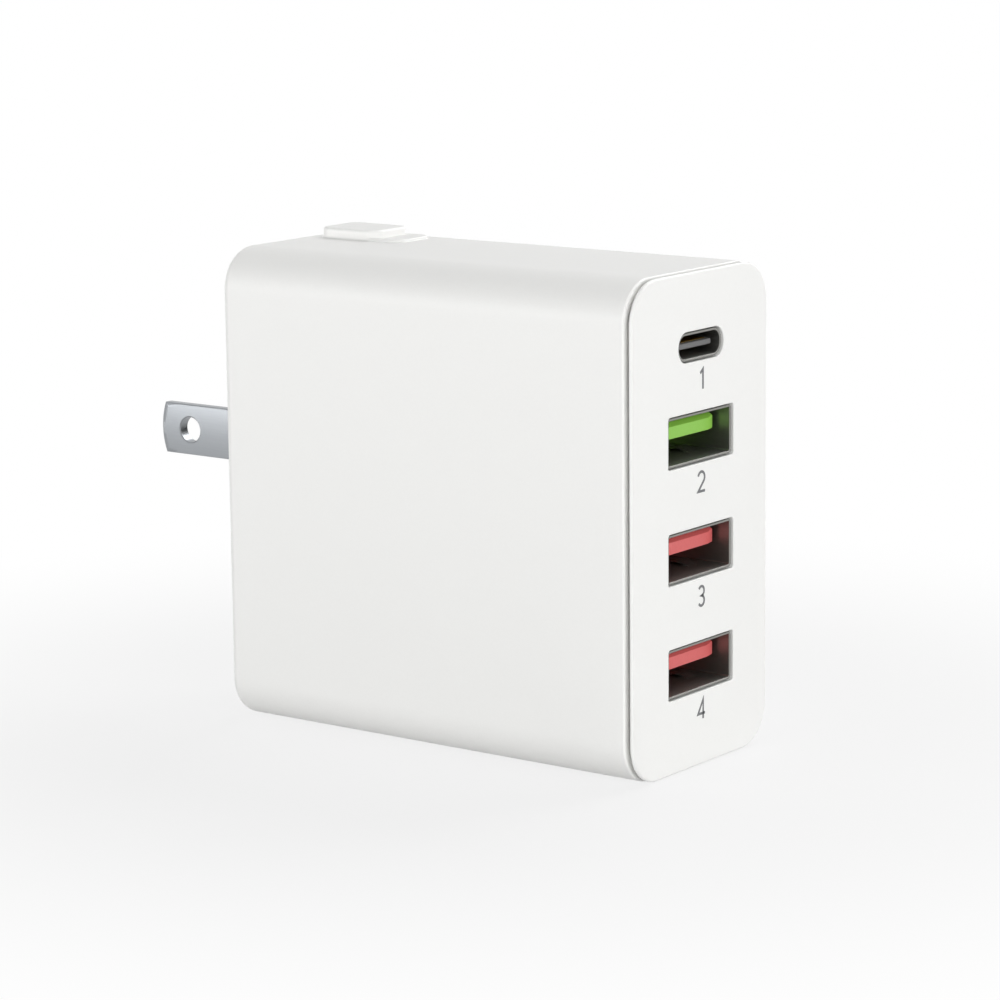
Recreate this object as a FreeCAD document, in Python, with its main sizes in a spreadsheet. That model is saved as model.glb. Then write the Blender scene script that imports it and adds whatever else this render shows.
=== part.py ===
import FreeCAD, Part
import math
import os
import re
import Sketcher

# A four-port USB wall charger with a folding two-blade plug, in millimetres.
# X runs across the thin way, the port face looks to -Y, the plug to +Y, and Z is up.
# The origin is the middle of the bottom face that the charger stands on.

# Driving sizes, each in a cell of its own
SIZES = {
    # case
    "housing_width": 28.0,
    "housing_depth": 60.0,
    "housing_height": 58.0,
    "corner_radius": 5.0,
    "rear_radius": 1.2,
    "wall": 2.0,
    "fit_clearance": 0.1,
    # seam and port panel
    "flange_thickness": 0.5,
    "seam_width": 0.7,
    "panel_inset": 0.1,
    "panel_edge_radius": 0.3,
    "panel_plate": 2.0,
    "rim_wall": 1.1,
    "skirt_wall": 1.1,
    "skirt_depth": 5.0,
    # raised tab on top, at the rear
    "tab_offset": 5.0,
    "tab_width": 7.0,
    "tab_length": 9.0,
    "tab_height": 1.3,
    "tab_setback": 2.6,
    "tab_corner": 1.6,
    "tab_edge_radius": 0.4,
    "tab_step_length": 3.4,
    "tab_step_height": 0.35,
    # sockets
    "socket_recess": 0.25,
    "socket_length": 12.5,
    "shell_thickness": 0.3,
    "shell_clearance": 0.1,
    "aperture_gap": 0.15,
    "aperture_corner": 0.4,
    "usb_c_drop": 8.6,
    "usb_a_drop": 10.6,
    "usb_a_pitch": 13.45,
    "usb_a_width": 13.2,
    "usb_a_height": 5.75,
    "usb_a_corner": 0.5,
    "tongue_recess": 1.9,
    "tongue_root": 10.0,
    "tongue_width": 11.1,
    "tongue_thickness": 1.84,
    "tongue_gap": 0.7,
    "tongue_corner": 1.0,
    "tongue_edge_radius": 0.4,
    "contact_width": 1.0,
    "contact_thickness": 0.2,
    "contact_setback": 0.9,
    "contact_inner": 1.0,
    "contact_outer": 3.5,
    "dimple_offset": 3.6,
    "dimple_setback": 5.0,
    "dimple_width": 2.2,
    "dimple_length": 4.6,
    "dimple_height": 0.6,
    "dimple_crest_width": 1.2,
    "dimple_crest_length": 0.8,
    "usb_c_width": 9.0,
    "usb_c_height": 3.26,
    "usb_c_radius": 1.55,
    "usb_c_tongue_recess": 0.9,
    "usb_c_tongue_length": 5.2,
    "usb_c_tongue_width": 6.69,
    "usb_c_tongue_thickness": 0.7,
    "usb_c_pad_width": 0.25,
    "usb_c_pad_thickness": 0.08,
    "usb_c_pad_setback": 0.6,
    "usb_c_pad_pitch": 0.5,
    # plug blades
    "blade_width": 6.35,
    "blade_thickness": 1.5,
    "blade_spacing": 12.7,
    "blade_reach": 16.4,
    "blade_hole": 3.2,
    "blade_hole_reach": 11.7,
    "blade_tip_radius": 8.6,
    "blade_tip_chamfer": 0.3,
    "shank_width": 3.6,
    "shoulder": 2.2,
    "tail_radius": 4.4,
    # plug barrel and the bay that it turns in
    "plug_height": 33.85,
    "pivot_setback": 3.9,
    "barrel_radius": 3.5,
    "barrel_end": 1.2,
    "journal_radius": 1.8,
    "journal_grip": 1.1,
    "bearing_clearance": 0.06,
    "running_gap": 0.35,
    "slot_clearance": 0.45,
    "bay_wall": 1.4,
    "bay_corner": 1.5,
    "bay_flange": 1.2,
    "bay_flange_thickness": 1.4,
    "well_depth": 3.6,
    "well_length": 11.0,
    # strips from the blade tails to the main board
    "strip_width": 3.0,
    "strip_thickness": 0.4,
    "strip_tail": 3.4,
    "strip_rise": 4.4,
    "contact_gap": 0.15,
    # boards
    "board_thickness": 1.6,
    "board_margin": 1.0,
    "board_gap": 0.4,
    "rib_thickness": 1.1,
    "rib_gap": 0.15,
    "rib_grip": 1.5,
    "rib_start": 3.0,
    "rib_length": 14.0,
    "lead_radius": 0.3,
    "lead_clearance": 0.1,
    "lead_stub": 0.8,
    # heat and insulation
    "sheet_thickness": 0.4,
    "sheet_margin": 1.0,
    "solder_gap": 1.4,
    "spreader_thickness": 0.8,
    "pad_size": 11.0,
    # transformer
    "core_depth": 9.0,
    "core_width": 17.0,
    "core_height": 17.0,
    "core_centre_leg": 5.0,
    "core_side_leg": 3.0,
    "core_yoke": 3.0,
    "core_clearance": 0.1,
    "bobbin_wall": 0.7,
    "winding_thickness": 2.0,
    "transformer_lift": 0.4,
    "transformer_start": 7.5,
    "transformer_base": 5.5,
    "transformer_pin_radius": 0.35,
    "transformer_pin_pitch": 4.0,
    # other parts on the main board, placed from the port board and from the base
    "bulk_radius": 5.0,
    "bulk_length": 16.0,
    "bulk_start": 13.4,
    "bulk_low": 28.6,
    "bulk_pitch": 10.5,
    "bulk_lead_pitch": 5.0,
    "output_radius": 3.15,
    "output_length": 9.0,
    "output_start": 4.2,
    "output_low": 27.0,
    "output_pitch": 7.5,
    "output_lead_pitch": 2.5,
    "can_rim": 1.2,
    "can_groove": 0.35,
    "line_cap_thickness": 6.0,
    "line_cap_width": 10.0,
    "line_cap_height": 11.0,
    "line_cap_start": 19.4,
    "line_cap_base": 23.5,
    "line_cap_lead_pitch": 5.0,
    "choke_outer": 4.7,
    "choke_inner": 2.4,
    "choke_thickness": 4.4,
    "choke_wire": 0.8,
    "choke_gap": 0.2,
    "choke_start": 22.7,
    "choke_centre": 40.0,
    "fuse_radius": 1.2,
    "fuse_length": 7.2,
    "fuse_start": 28.0,
    "fuse_centre": 43.0,
    "fuse_lift": 0.4,
    "fuse_lead_pitch": 5.6,
    "bridge_thickness": 2.5,
    "bridge_width": 9.0,
    "bridge_height": 8.0,
    "bridge_start": 25.6,
    "bridge_base": 14.5,
    "bridge_lead_pitch": 2.3,
    "disc_radius": 3.4,
    "disc_thickness": 3.0,
    "disc_start": 25.6,
    "disc_centre": 9.6,
    "disc_lead_pitch": 4.8,
    "chip_height": 1.0,
    "chip_length": 6.0,
    "chip_width": 5.0,
    "chip_start": 5.4,
    "chip_low": 12.0,
    "chip_pitch": 11.0,
    "port_chip_low": 18.7,
}

# Sizes and places worked out from the driving sizes
FORMULAS = {
    # case
    "front_y": "-housing_depth / 2",
    "rear_y": "housing_depth / 2",
    "mid_z": "housing_height / 2",
    "rim_y": "front_y + flange_thickness + seam_width",
    "rear_wall_y": "rear_y - wall",
    "inner_x": "housing_width / 2 - wall",
    "ceiling_z": "housing_height - wall",
    "skirt_inset": "rim_wall + fit_clearance",
    "skirt_end_y": "front_y + skirt_depth",
    "tab_front_y": "rear_y - tab_setback - tab_length",
    # sockets
    "mouth_y": "front_y + socket_recess",
    "port_board_y": "mouth_y + socket_length",
    "port_back_y": "port_board_y + board_thickness",
    "usb_c_z": "housing_height - usb_c_drop",
    "usb_a_top_z": "usb_c_z - usb_a_drop",
    "tongue_y": "front_y + tongue_recess",
    "tongue_root_y": "mouth_y + tongue_root",
    "usb_c_tongue_y": "front_y + usb_c_tongue_recess",
    "usb_c_root_y": "usb_c_tongue_y + usb_c_tongue_length",
    "usb_c_inset": "shell_thickness + shell_clearance",
    # plug
    "pivot_y": "rear_y - pivot_setback",
    "pivot_z": "plug_height",
    "blade_x": "blade_spacing / 2",
    "blade_length": "pivot_setback + blade_reach",
    "barrel_half": "blade_x + blade_thickness / 2 + barrel_end",
    "pocket_half": "barrel_half + running_gap",
    "bay_half": "pocket_half + bay_wall",
    "leaf_y": "pivot_y - tail_radius - contact_gap",
    "pocket_y": "leaf_y - strip_thickness",
    "bay_front_y": "pocket_y - bay_wall",
    "pocket_low_z": "pivot_z - barrel_radius - running_gap",
    "pocket_top_z": "pivot_z + tail_radius + running_gap",
    "mouth_top_z": "pivot_z + barrel_radius + running_gap",
    "lip_y": "pivot_y + shank_width / 2 + running_gap",
    "slot_half": "blade_thickness / 2 + slot_clearance",
    "slot_floor_y": "pivot_y - blade_width / 2 - slot_clearance",
    "slot_low_z": "pivot_z - blade_length - slot_clearance",
    "bay_low_z": "slot_low_z - bay_wall",
    "bay_top_z": "pocket_top_z + bay_wall",
    "well_half": "blade_x - slot_half",
    "core_out_half": "well_half - bay_wall",
    "core_out_top_z": "pocket_low_z - bay_wall",
    "strip_top_z": "pivot_z + strip_width / 2",
    # boards and what lies between them and the walls
    "sheet_x": "inner_x - sheet_thickness",
    "board_back_x": "sheet_x - solder_gap",
    "board_face_x": "board_back_x - board_thickness",
    "board_low_z": "wall + board_margin",
    "board_top_z": "ceiling_z - board_margin",
    "board_rear_y": "bay_front_y - board_gap",
    "lead_tip_x": "board_back_x + lead_stub",
    "spreader_x": "-inner_x + spreader_thickness",
    "sheet_low_z": "corner_radius + sheet_margin",
    "sheet_top_z": "housing_height - corner_radius - sheet_margin",
    # transformer
    "tube_half_x": "core_depth / 2 + core_clearance + bobbin_wall",
    "tube_half_y": "core_centre_leg / 2 + core_clearance + bobbin_wall",
    "coil_half_x": "tube_half_x + winding_thickness",
    "coil_half_y": "tube_half_y + winding_thickness",
    "transformer_x": "board_face_x - transformer_lift - coil_half_x",
    "transformer_y": "port_back_y + transformer_start + core_width / 2",
    "transformer_z": "transformer_base + core_height / 2",
    "window_half_z": "core_height / 2 - core_yoke",
    "flange_half_z": "window_half_z - core_clearance",
    "coil_half_z": "flange_half_z - bobbin_wall",
    "rail_x": "transformer_x + core_depth / 2 + core_clearance",
}

NAME = re.compile(r"[a-z][a-z0-9_]*")

# Sketch planes by the axis that they face, and the way their own normal points along it
PLANES = {"x": ("YZ_Plane", 1), "y": ("XZ_Plane", -1), "z": ("XY_Plane", 1)}

# Turn that lays a cylinder along each axis
TURNS = {
    "x": FreeCAD.Rotation(FreeCAD.Vector(0, 1, 0), 90),
    "y": FreeCAD.Rotation(FreeCAD.Vector(1, 0, 0), -90),
    "z": FreeCAD.Rotation(),
}

# How many of each repeated piece there are
USB_A_COUNT = 3
USB_C_PADS = 12
BULK_COUNT = 2
OUTPUT_COUNT = 3
CHIP_COUNT = 3
PINS_A_RAIL = 3
BRIDGE_LEADS = 4

# Side of the plug that each mains pole is on
SIDES = {"live": 1, "neutral": -1}

CASE_CENTRE = ("0", "mid_z")
OVERSHOOT = "wall"
CLOSE = 1e-4
FAR = 1e3

DOC = FreeCAD.newDocument("usb_wall_charger")
SHEET = DOC.addObject("Spreadsheet::Sheet", "Sizes")
NODES = []
LEADS = []


def fill_sheet():
    """Write each driving size into a cell of its own and give the cell its alias."""
    for row, (name, size) in enumerate(SIZES.items(), start=1):
        SHEET.set(f"A{row}", name)
        SHEET.set(f"B{row}", str(size))
        SHEET.setAlias(f"B{row}", name)
    DOC.recompute()


def expression(text):
    """Point each named size in a formula at its cell and write each named formula out."""
    def written_out(match):
        name = match.group(0)
        if name in FORMULAS:
            return "(" + expression(FORMULAS[name]) + ")"
        if name in SIZES:
            return "Sizes." + name
        return name
    return NAME.sub(written_out, text)


def value(text):
    """Give the present value of a formula."""
    return float(SHEET.evalExpression(expression(text)))


def bind(feature, prop, text):
    """Tie a property to a formula of the sheet's cells."""
    feature.setExpression(prop, expression(text))


def node(feature, label):
    """Name a finished sub-part and keep it for export."""
    feature.Label = label
    NODES.append(feature)
    return feature


def new_name(stem):
    """Give a free object name that starts with a stem."""
    taken = sum(1 for item in DOC.Objects if item.Name.startswith(stem))
    return f"{stem}_{taken + 1}"


# Part primitives and booleans

def box(x, y, z):
    """Box between a low and a high formula on each axis."""
    solid = DOC.addObject("Part::Box", new_name("box"))
    for axis, size, (low, high) in zip("xyz", ("Length", "Width", "Height"), (x, y, z)):
        bind(solid, f"Placement.Base.{axis}", low)
        bind(solid, size, f"({high}) - ({low})")
    return solid


def rod(axis, radius, centre, span):
    """Cylinder along an axis, centred on formulas for the other two axes, between two formulas."""
    solid = DOC.addObject("Part::Cylinder", new_name("rod"))
    solid.Placement = FreeCAD.Placement(FreeCAD.Vector(), TURNS[axis])
    across = [name for name in "xyz" if name != axis]
    for name, text in zip(across, centre):
        bind(solid, f"Placement.Base.{name}", text)
    bind(solid, f"Placement.Base.{axis}", span[0])
    bind(solid, "Height", f"({span[1]}) - ({span[0]})")
    bind(solid, "Radius", radius)
    return solid


def fuse(*solids):
    """Union of solids; those that don't touch stay separate solids of one group."""
    union = DOC.addObject("Part::MultiFuse", new_name("union"))
    union.Shapes = list(solids)
    return union


def cut(base, *tools):
    """Base with every tool taken away."""
    result = DOC.addObject("Part::Cut", new_name("cut"))
    result.Base = base
    result.Tool = tools[0] if len(tools) == 1 else fuse(*tools)
    return result


# PartDesign bodies

def new_body(label):
    """Empty body that becomes one sub-part."""
    return node(DOC.addObject("PartDesign::Body", label), label)


def new_sketch(body, axis, centre, place):
    """Sketch across an axis, its own origin at two formulas, at a place along that axis."""
    role, normal = PLANES[axis]
    plane = next(item for item in body.Origin.OriginFeatures if item.Role == role)
    sketch = body.newObject("Sketcher::SketchObject", new_name("sketch"))
    sketch.AttachmentSupport = [(plane, "")]
    sketch.MapMode = "FlatFace"
    bind(sketch, "AttachmentOffset.Base.x", centre[0])
    bind(sketch, "AttachmentOffset.Base.y", centre[1])
    bind(sketch, "AttachmentOffset.Base.z", f"{normal} * ({place})")
    return sketch


def name_constraint(sketch, constraint, name, text):
    """Add a dimension to a sketch, name it and tie it to a formula."""
    index = sketch.addConstraint(constraint)
    sketch.renameConstraint(index, name)
    bind(sketch, f"Constraints.{name}", text)


def rounded_rectangle(sketch, tag, width, height, radius):
    """Rectangle with round corners, centred on the sketch's origin."""
    half_w = value(width) / 2
    half_h = value(height) / 2
    round_r = value(radius)
    flat_w = half_w - round_r
    flat_h = half_h - round_r
    first = sketch.GeometryCount
    ends = [
        ((-flat_w, -half_h), (flat_w, -half_h)),
        ((half_w, -flat_h), (half_w, flat_h)),
        ((flat_w, half_h), (-flat_w, half_h)),
        ((-half_w, flat_h), (-half_w, -flat_h)),
    ]
    for start, end in ends:
        sketch.addGeometry(Part.LineSegment(FreeCAD.Vector(*start), FreeCAD.Vector(*end)))
    quarter = math.pi / 2
    centres = [(flat_w, -flat_h), (flat_w, flat_h), (-flat_w, flat_h), (-flat_w, -flat_h)]
    for turn, centre in enumerate(centres, start=-1):
        circle = Part.Circle(FreeCAD.Vector(*centre), FreeCAD.Vector(0, 0, 1), round_r)
        sketch.addGeometry(Part.ArcOfCircle(circle, turn * quarter, (turn + 1) * quarter))
    for side in range(4):
        line, arc, following = first + side, first + 4 + side, first + (side + 1) % 4
        sketch.addConstraint(Sketcher.Constraint("Tangent", line, 2, arc, 1))
        sketch.addConstraint(Sketcher.Constraint("Tangent", arc, 2, following, 1))
        sketch.addConstraint(Sketcher.Constraint(("Horizontal", "Vertical")[side % 2], line))
    for arc in range(first + 5, first + 8):
        sketch.addConstraint(Sketcher.Constraint("Equal", first + 4, arc))
    sketch.addConstraint(Sketcher.Constraint("Symmetric", first, 1, first + 2, 1, -1, 1))
    across = Sketcher.Constraint("DistanceX", first + 3, 1, first + 1, 1, 2 * half_w)
    up = Sketcher.Constraint("DistanceY", first, 1, first + 2, 1, 2 * half_h)
    name_constraint(sketch, across, f"{tag}_width", width)
    name_constraint(sketch, up, f"{tag}_height", height)
    bend = Sketcher.Constraint("Radius", first + 4, round_r)
    name_constraint(sketch, bend, f"{tag}_radius", radius)


def extrude(body, kind, axis, centre, span, size, hollow=None):
    """Pad or pocket a rounded rectangle (width, height, radius) along an axis between two formulas.

    A hollow is a second rounded rectangle inside the first, which leaves a tube."""
    sketch = new_sketch(body, axis, centre, span[0])
    rounded_rectangle(sketch, "outer", *size)
    if hollow:
        rounded_rectangle(sketch, "inner", *hollow)
    feature = body.newObject(f"PartDesign::{kind}", new_name(kind.lower()))
    feature.Profile = sketch
    towards = PLANES[axis][1] if kind == "Pad" else -PLANES[axis][1]
    feature.Reversed = towards < 0
    bind(feature, "Length", f"({span[1]}) - ({span[0]})")
    DOC.recompute()
    return feature


def block(body, kind, x, y, z):
    """Additive or subtractive box in a body, between a low and a high formula on each axis."""
    feature = body.newObject(f"PartDesign::{kind}Box", new_name(kind.lower()))
    for axis, size, (low, high) in zip("xyz", ("Length", "Width", "Height"), (x, y, z)):
        bind(feature, f"Placement.Base.{axis}", low)
        bind(feature, size, f"({high}) - ({low})")
    DOC.recompute()
    return feature


def bore(body, axis, radius, centre, span):
    """Round hole through a body along an axis."""
    feature = body.newObject("PartDesign::SubtractiveCylinder", new_name("bore"))
    feature.Placement = FreeCAD.Placement(FreeCAD.Vector(), TURNS[axis])
    across = [name for name in "xyz" if name != axis]
    for name, text in zip(across, centre):
        bind(feature, f"Placement.Base.{name}", text)
    bind(feature, f"Placement.Base.{axis}", span[0])
    bind(feature, "Height", f"({span[1]}) - ({span[0]})")
    bind(feature, "Radius", radius)
    DOC.recompute()
    return feature


def depth_zone(low, high):
    """Slab between two depths along Y, endless the other ways."""
    return FreeCAD.BoundBox(-FAR, low - CLOSE, -FAR, FAR, high + CLOSE, FAR)


def level_edges(feature, axis, text, inside=None):
    """Names of the edges that lie at one level of an axis, and within a slab where one is given."""
    level = value(text)
    names = []
    for number, edge in enumerate(feature.Shape.Edges, start=1):
        bounds = edge.BoundBox
        low = getattr(bounds, f"{axis.upper()}Min")
        high = getattr(bounds, f"{axis.upper()}Max")
        flat = abs(low - level) < CLOSE and abs(high - level) < CLOSE
        if flat and (inside is None or inside.isInside(bounds)):
            names.append(f"Edge{number}")
    return names


def dress(body, kind, base, edges, size):
    """Fillet or chamfer named edges of a feature."""
    feature = body.newObject(f"PartDesign::{kind}", new_name(kind.lower()))
    feature.Base = (base, edges)
    bind(feature, "Radius" if kind == "Fillet" else "Size", size)
    DOC.recompute()
    return feature


def inset(amount):
    """Outline of the case's section, moved in by an amount: width, height and corner radius."""
    return (
        f"housing_width - 2 * ({amount})",
        f"housing_height - 2 * ({amount})",
        f"corner_radius - ({amount})",
    )


def both(half):
    """Low and high ends of a span that is centred on zero."""
    return (f"-({half})", half)


def around(centre, half):
    """Low and high ends of a span about a centre."""
    return (f"{centre} - ({half})", f"{centre} + {half}")


def spread(middle, count, pitch):
    """Formulas for the places of a row of pieces that is centred on a middle."""
    return [f"{middle} + {place - (count - 1) / 2} * {pitch}" for place in range(count)]


# Case

def make_housing():
    """White moulded case: closed rear with a window for the plug bay, open front, tab on top."""
    body = new_body("housing")
    shell = extrude(body, "Pad", "y", CASE_CENTRE, ("rim_y", "rear_y"), inset("0"))
    rear_rim = level_edges(shell, "y", "rear_y")
    dress(body, "Fillet", shell, rear_rim, "rear_radius")
    extrude(body, "Pocket", "y", CASE_CENTRE, ("rim_y", "rear_wall_y"), inset("wall"))
    rebate = ("rim_y", "skirt_end_y + fit_clearance")
    extrude(body, "Pocket", "y", CASE_CENTRE, rebate, inset("rim_wall"))
    window = (
        "2 * (bay_half + fit_clearance)",
        "bay_top_z - bay_low_z + 2 * fit_clearance",
        "bay_corner + fit_clearance",
    )
    window_centre = ("0", "(bay_low_z + bay_top_z) / 2")
    extrude(body, "Pocket", "y", window_centre, ("rear_wall_y - wall", f"rear_y + {OVERSHOOT}"), window)
    add_board_ribs(body)
    add_tab(body)


def add_board_ribs(body):
    """Two pairs of ribs, on the floor and under the roof, that hold the edges of the main board."""
    along = ("port_back_y + rib_start", "port_back_y + rib_start + rib_length")
    low = ("wall / 2", "board_low_z + rib_grip")
    high = ("board_top_z - rib_grip", "ceiling_z + wall / 2")
    face_rib = ("board_face_x - rib_gap - rib_thickness", "board_face_x - rib_gap")
    back_rib = ("board_back_x + rib_gap", "board_back_x + rib_gap + rib_thickness")
    for across in (face_rib, back_rib):
        for up in (low, high):
            block(body, "Additive", across, along, up)


def add_tab(body):
    """Raised tab on top at the rear, with a low step in front of it."""
    plan = ("tab_width", "tab_length", "tab_corner")
    centre = ("tab_offset", "tab_front_y + tab_length / 2")
    step_centre = ("tab_offset", "tab_front_y + tab_length / 2 - tab_step_length")
    root = "housing_height - wall / 2"
    extrude(body, "Pad", "z", step_centre, (root, "housing_height + tab_step_height"), plan)
    tab = extrude(body, "Pad", "z", centre, (root, "housing_height + tab_height"), plan)
    top_rim = level_edges(tab, "z", "housing_height + tab_height")
    dress(body, "Fillet", tab, top_rim, "tab_edge_radius")


def make_port_panel():
    """White cap over the front: a thin rim, a plate with four openings and a skirt in the housing."""
    body = new_body("port_panel")
    flange = ("front_y", "front_y + flange_thickness")
    rim = extrude(body, "Pad", "y", CASE_CENTRE, flange, inset("panel_inset"))
    front_edge = level_edges(rim, "y", "front_y")
    dress(body, "Fillet", rim, front_edge, "panel_edge_radius")
    skirt = ("front_y + flange_thickness", "skirt_end_y")
    extrude(body, "Pad", "y", CASE_CENTRE, skirt, inset("skirt_inset"))
    hollow = ("front_y + panel_plate", "skirt_end_y")
    extrude(body, "Pocket", "y", CASE_CENTRE, hollow, inset("skirt_inset + skirt_wall"))
    through = ("front_y", "front_y + panel_plate")
    usb_c = (
        "usb_c_width + 2 * aperture_gap",
        "usb_c_height + 2 * aperture_gap",
        "usb_c_radius + aperture_gap",
    )
    extrude(body, "Pocket", "y", ("0", "usb_c_z"), through, usb_c)
    usb_a = (
        "usb_a_width + 2 * aperture_gap",
        "usb_a_height + 2 * aperture_gap",
        "aperture_corner",
    )
    opening = extrude(body, "Pocket", "y", ("0", "usb_a_top_z"), through, usb_a)
    row = body.newObject("PartDesign::LinearPattern", "usb_a_openings")
    row.Originals = [opening]
    row.Direction = (opening.Profile[0], ["V_Axis"])
    row.Reversed = True
    row.Occurrences = USB_A_COUNT
    bind(row, "Length", f"{USB_A_COUNT - 1} * usb_a_pitch")
    body.Tip = row
    DOC.recompute()


# Sockets

def usb_a_z(port):
    """Height of the middle of a USB-A port, counted from 0 at the top."""
    return f"(usb_a_top_z - {port} * usb_a_pitch)"


def usb_a_tongue_top(port):
    """Height of the upper face of a port's tongue."""
    return f"{usb_a_z(port)} + usb_a_height / 2 - shell_thickness - tongue_gap"


def usb_a_contact_boxes(port):
    """Span of each of the four contacts under a port's tongue, as x, y and z formulas."""
    tongue_low = f"{usb_a_tongue_top(port)} - tongue_thickness"
    along = ("tongue_y + contact_setback", "port_board_y")
    up = (f"{tongue_low} - contact_thickness", tongue_low)
    middles = ("-contact_outer", "-contact_inner", "contact_inner", "contact_outer")
    return [(around(middle, "contact_width / 2"), along, up) for middle in middles]


def make_usb_a(port):
    """One USB-A socket: a folded steel shell, an insulator with its tongue, and four contacts."""
    number = port + 1
    height = usb_a_z(port)
    shell = new_body(f"usb_a_shell_{number}")
    outside = ("usb_a_width", "usb_a_height", "usb_a_corner")
    inside = (
        "usb_a_width - 2 * shell_thickness",
        "usb_a_height - 2 * shell_thickness",
        "usb_a_corner - shell_thickness",
    )
    extrude(shell, "Pad", "y", ("0", height), ("mouth_y", "port_board_y"), outside, inside)
    add_dimples(shell, f"{height} - usb_a_height / 2 + shell_thickness")

    insulator = new_body(f"usb_a_insulator_{number}")
    tongue_top = usb_a_tongue_top(port)
    tongue = block(
        insulator,
        "Additive",
        both("tongue_width / 2"),
        ("tongue_y", "tongue_root_y + shell_clearance"),
        (f"{tongue_top} - tongue_thickness", tongue_top),
    )
    front = depth_zone(value("tongue_y"), value("tongue_y"))
    corners = level_edges(tongue, "x", "tongue_width / 2", front)
    corners += level_edges(tongue, "x", "-tongue_width / 2", front)
    rounded = dress(insulator, "Fillet", tongue, corners, "tongue_corner")
    nose = depth_zone(value("tongue_y"), value("tongue_y + tongue_corner"))
    top_edge = level_edges(rounded, "z", tongue_top, nose)
    dress(insulator, "Fillet", rounded, top_edge, "tongue_edge_radius")
    block(
        insulator,
        "Additive",
        both("usb_a_width / 2 - shell_thickness - shell_clearance"),
        ("tongue_root_y", "port_board_y"),
        around(height, "usb_a_height / 2 - shell_thickness - shell_clearance"),
    )
    for spans in usb_a_contact_boxes(port):
        block(insulator, "Subtractive", *spans)

    contacts = fuse(*(box(*spans) for spans in usb_a_contact_boxes(port)))
    node(contacts, f"usb_a_contacts_{number}")


def add_dimples(shell, floor):
    """Two pressed dimples on the floor of a socket, which grip the plug."""
    for sign in SIDES.values():
        dimple = shell.newObject("PartDesign::AdditiveWedge", new_name("dimple"))
        upright = FreeCAD.Rotation(FreeCAD.Vector(1, 0, 0), 90)
        dimple.Placement = FreeCAD.Placement(FreeCAD.Vector(), upright)
        bind(dimple, "Placement.Base.x", f"{sign} * dimple_offset")
        bind(dimple, "Placement.Base.y", "mouth_y + dimple_setback")
        bind(dimple, "Placement.Base.z", floor)
        bind(dimple, "Ymin", "-shell_thickness / 2")
        bind(dimple, "Ymax", "dimple_height")
        for stem, size in (("X", "width"), ("Z", "length")):
            bind(dimple, f"{stem}min", f"-dimple_{size} / 2")
            bind(dimple, f"{stem}max", f"dimple_{size} / 2")
            bind(dimple, f"{stem}2min", f"-dimple_crest_{size} / 2")
            bind(dimple, f"{stem}2max", f"dimple_crest_{size} / 2")
        DOC.recompute()


def make_usb_c():
    """USB-C socket: a drawn steel shell, an insulator with its thin tongue, and two rows of contacts."""
    centre = ("0", "usb_c_z")
    shell = new_body("usb_c_shell")
    outside = ("usb_c_width", "usb_c_height", "usb_c_radius")
    inside = (
        "usb_c_width - 2 * shell_thickness",
        "usb_c_height - 2 * shell_thickness",
        "usb_c_radius - shell_thickness",
    )
    extrude(shell, "Pad", "y", centre, ("mouth_y", "port_board_y"), outside, inside)

    insulator = new_body("usb_c_insulator")
    root = (
        "usb_c_width - 2 * usb_c_inset",
        "usb_c_height - 2 * usb_c_inset",
        "usb_c_radius - usb_c_inset",
    )
    extrude(insulator, "Pad", "y", centre, ("usb_c_root_y", "port_board_y"), root)
    block(
        insulator,
        "Additive",
        both("usb_c_tongue_width / 2"),
        ("usb_c_tongue_y", "usb_c_root_y + shell_clearance"),
        around("usb_c_z", "usb_c_tongue_thickness / 2"),
    )

    top = "usb_c_z + usb_c_tongue_thickness / 2"
    bottom = "usb_c_z - usb_c_tongue_thickness / 2"
    upper = (top, f"{top} + usb_c_pad_thickness")
    lower = (f"{bottom} - usb_c_pad_thickness", bottom)
    along = ("usb_c_tongue_y + usb_c_pad_setback", "usb_c_root_y")
    pads = []
    for middle in spread("0", USB_C_PADS, "usb_c_pad_pitch"):
        across = around(middle, "usb_c_pad_width / 2")
        pads += [box(across, along, upper), box(across, along, lower)]
    node(fuse(*pads), "usb_c_contacts")


# Folding plug

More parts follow.
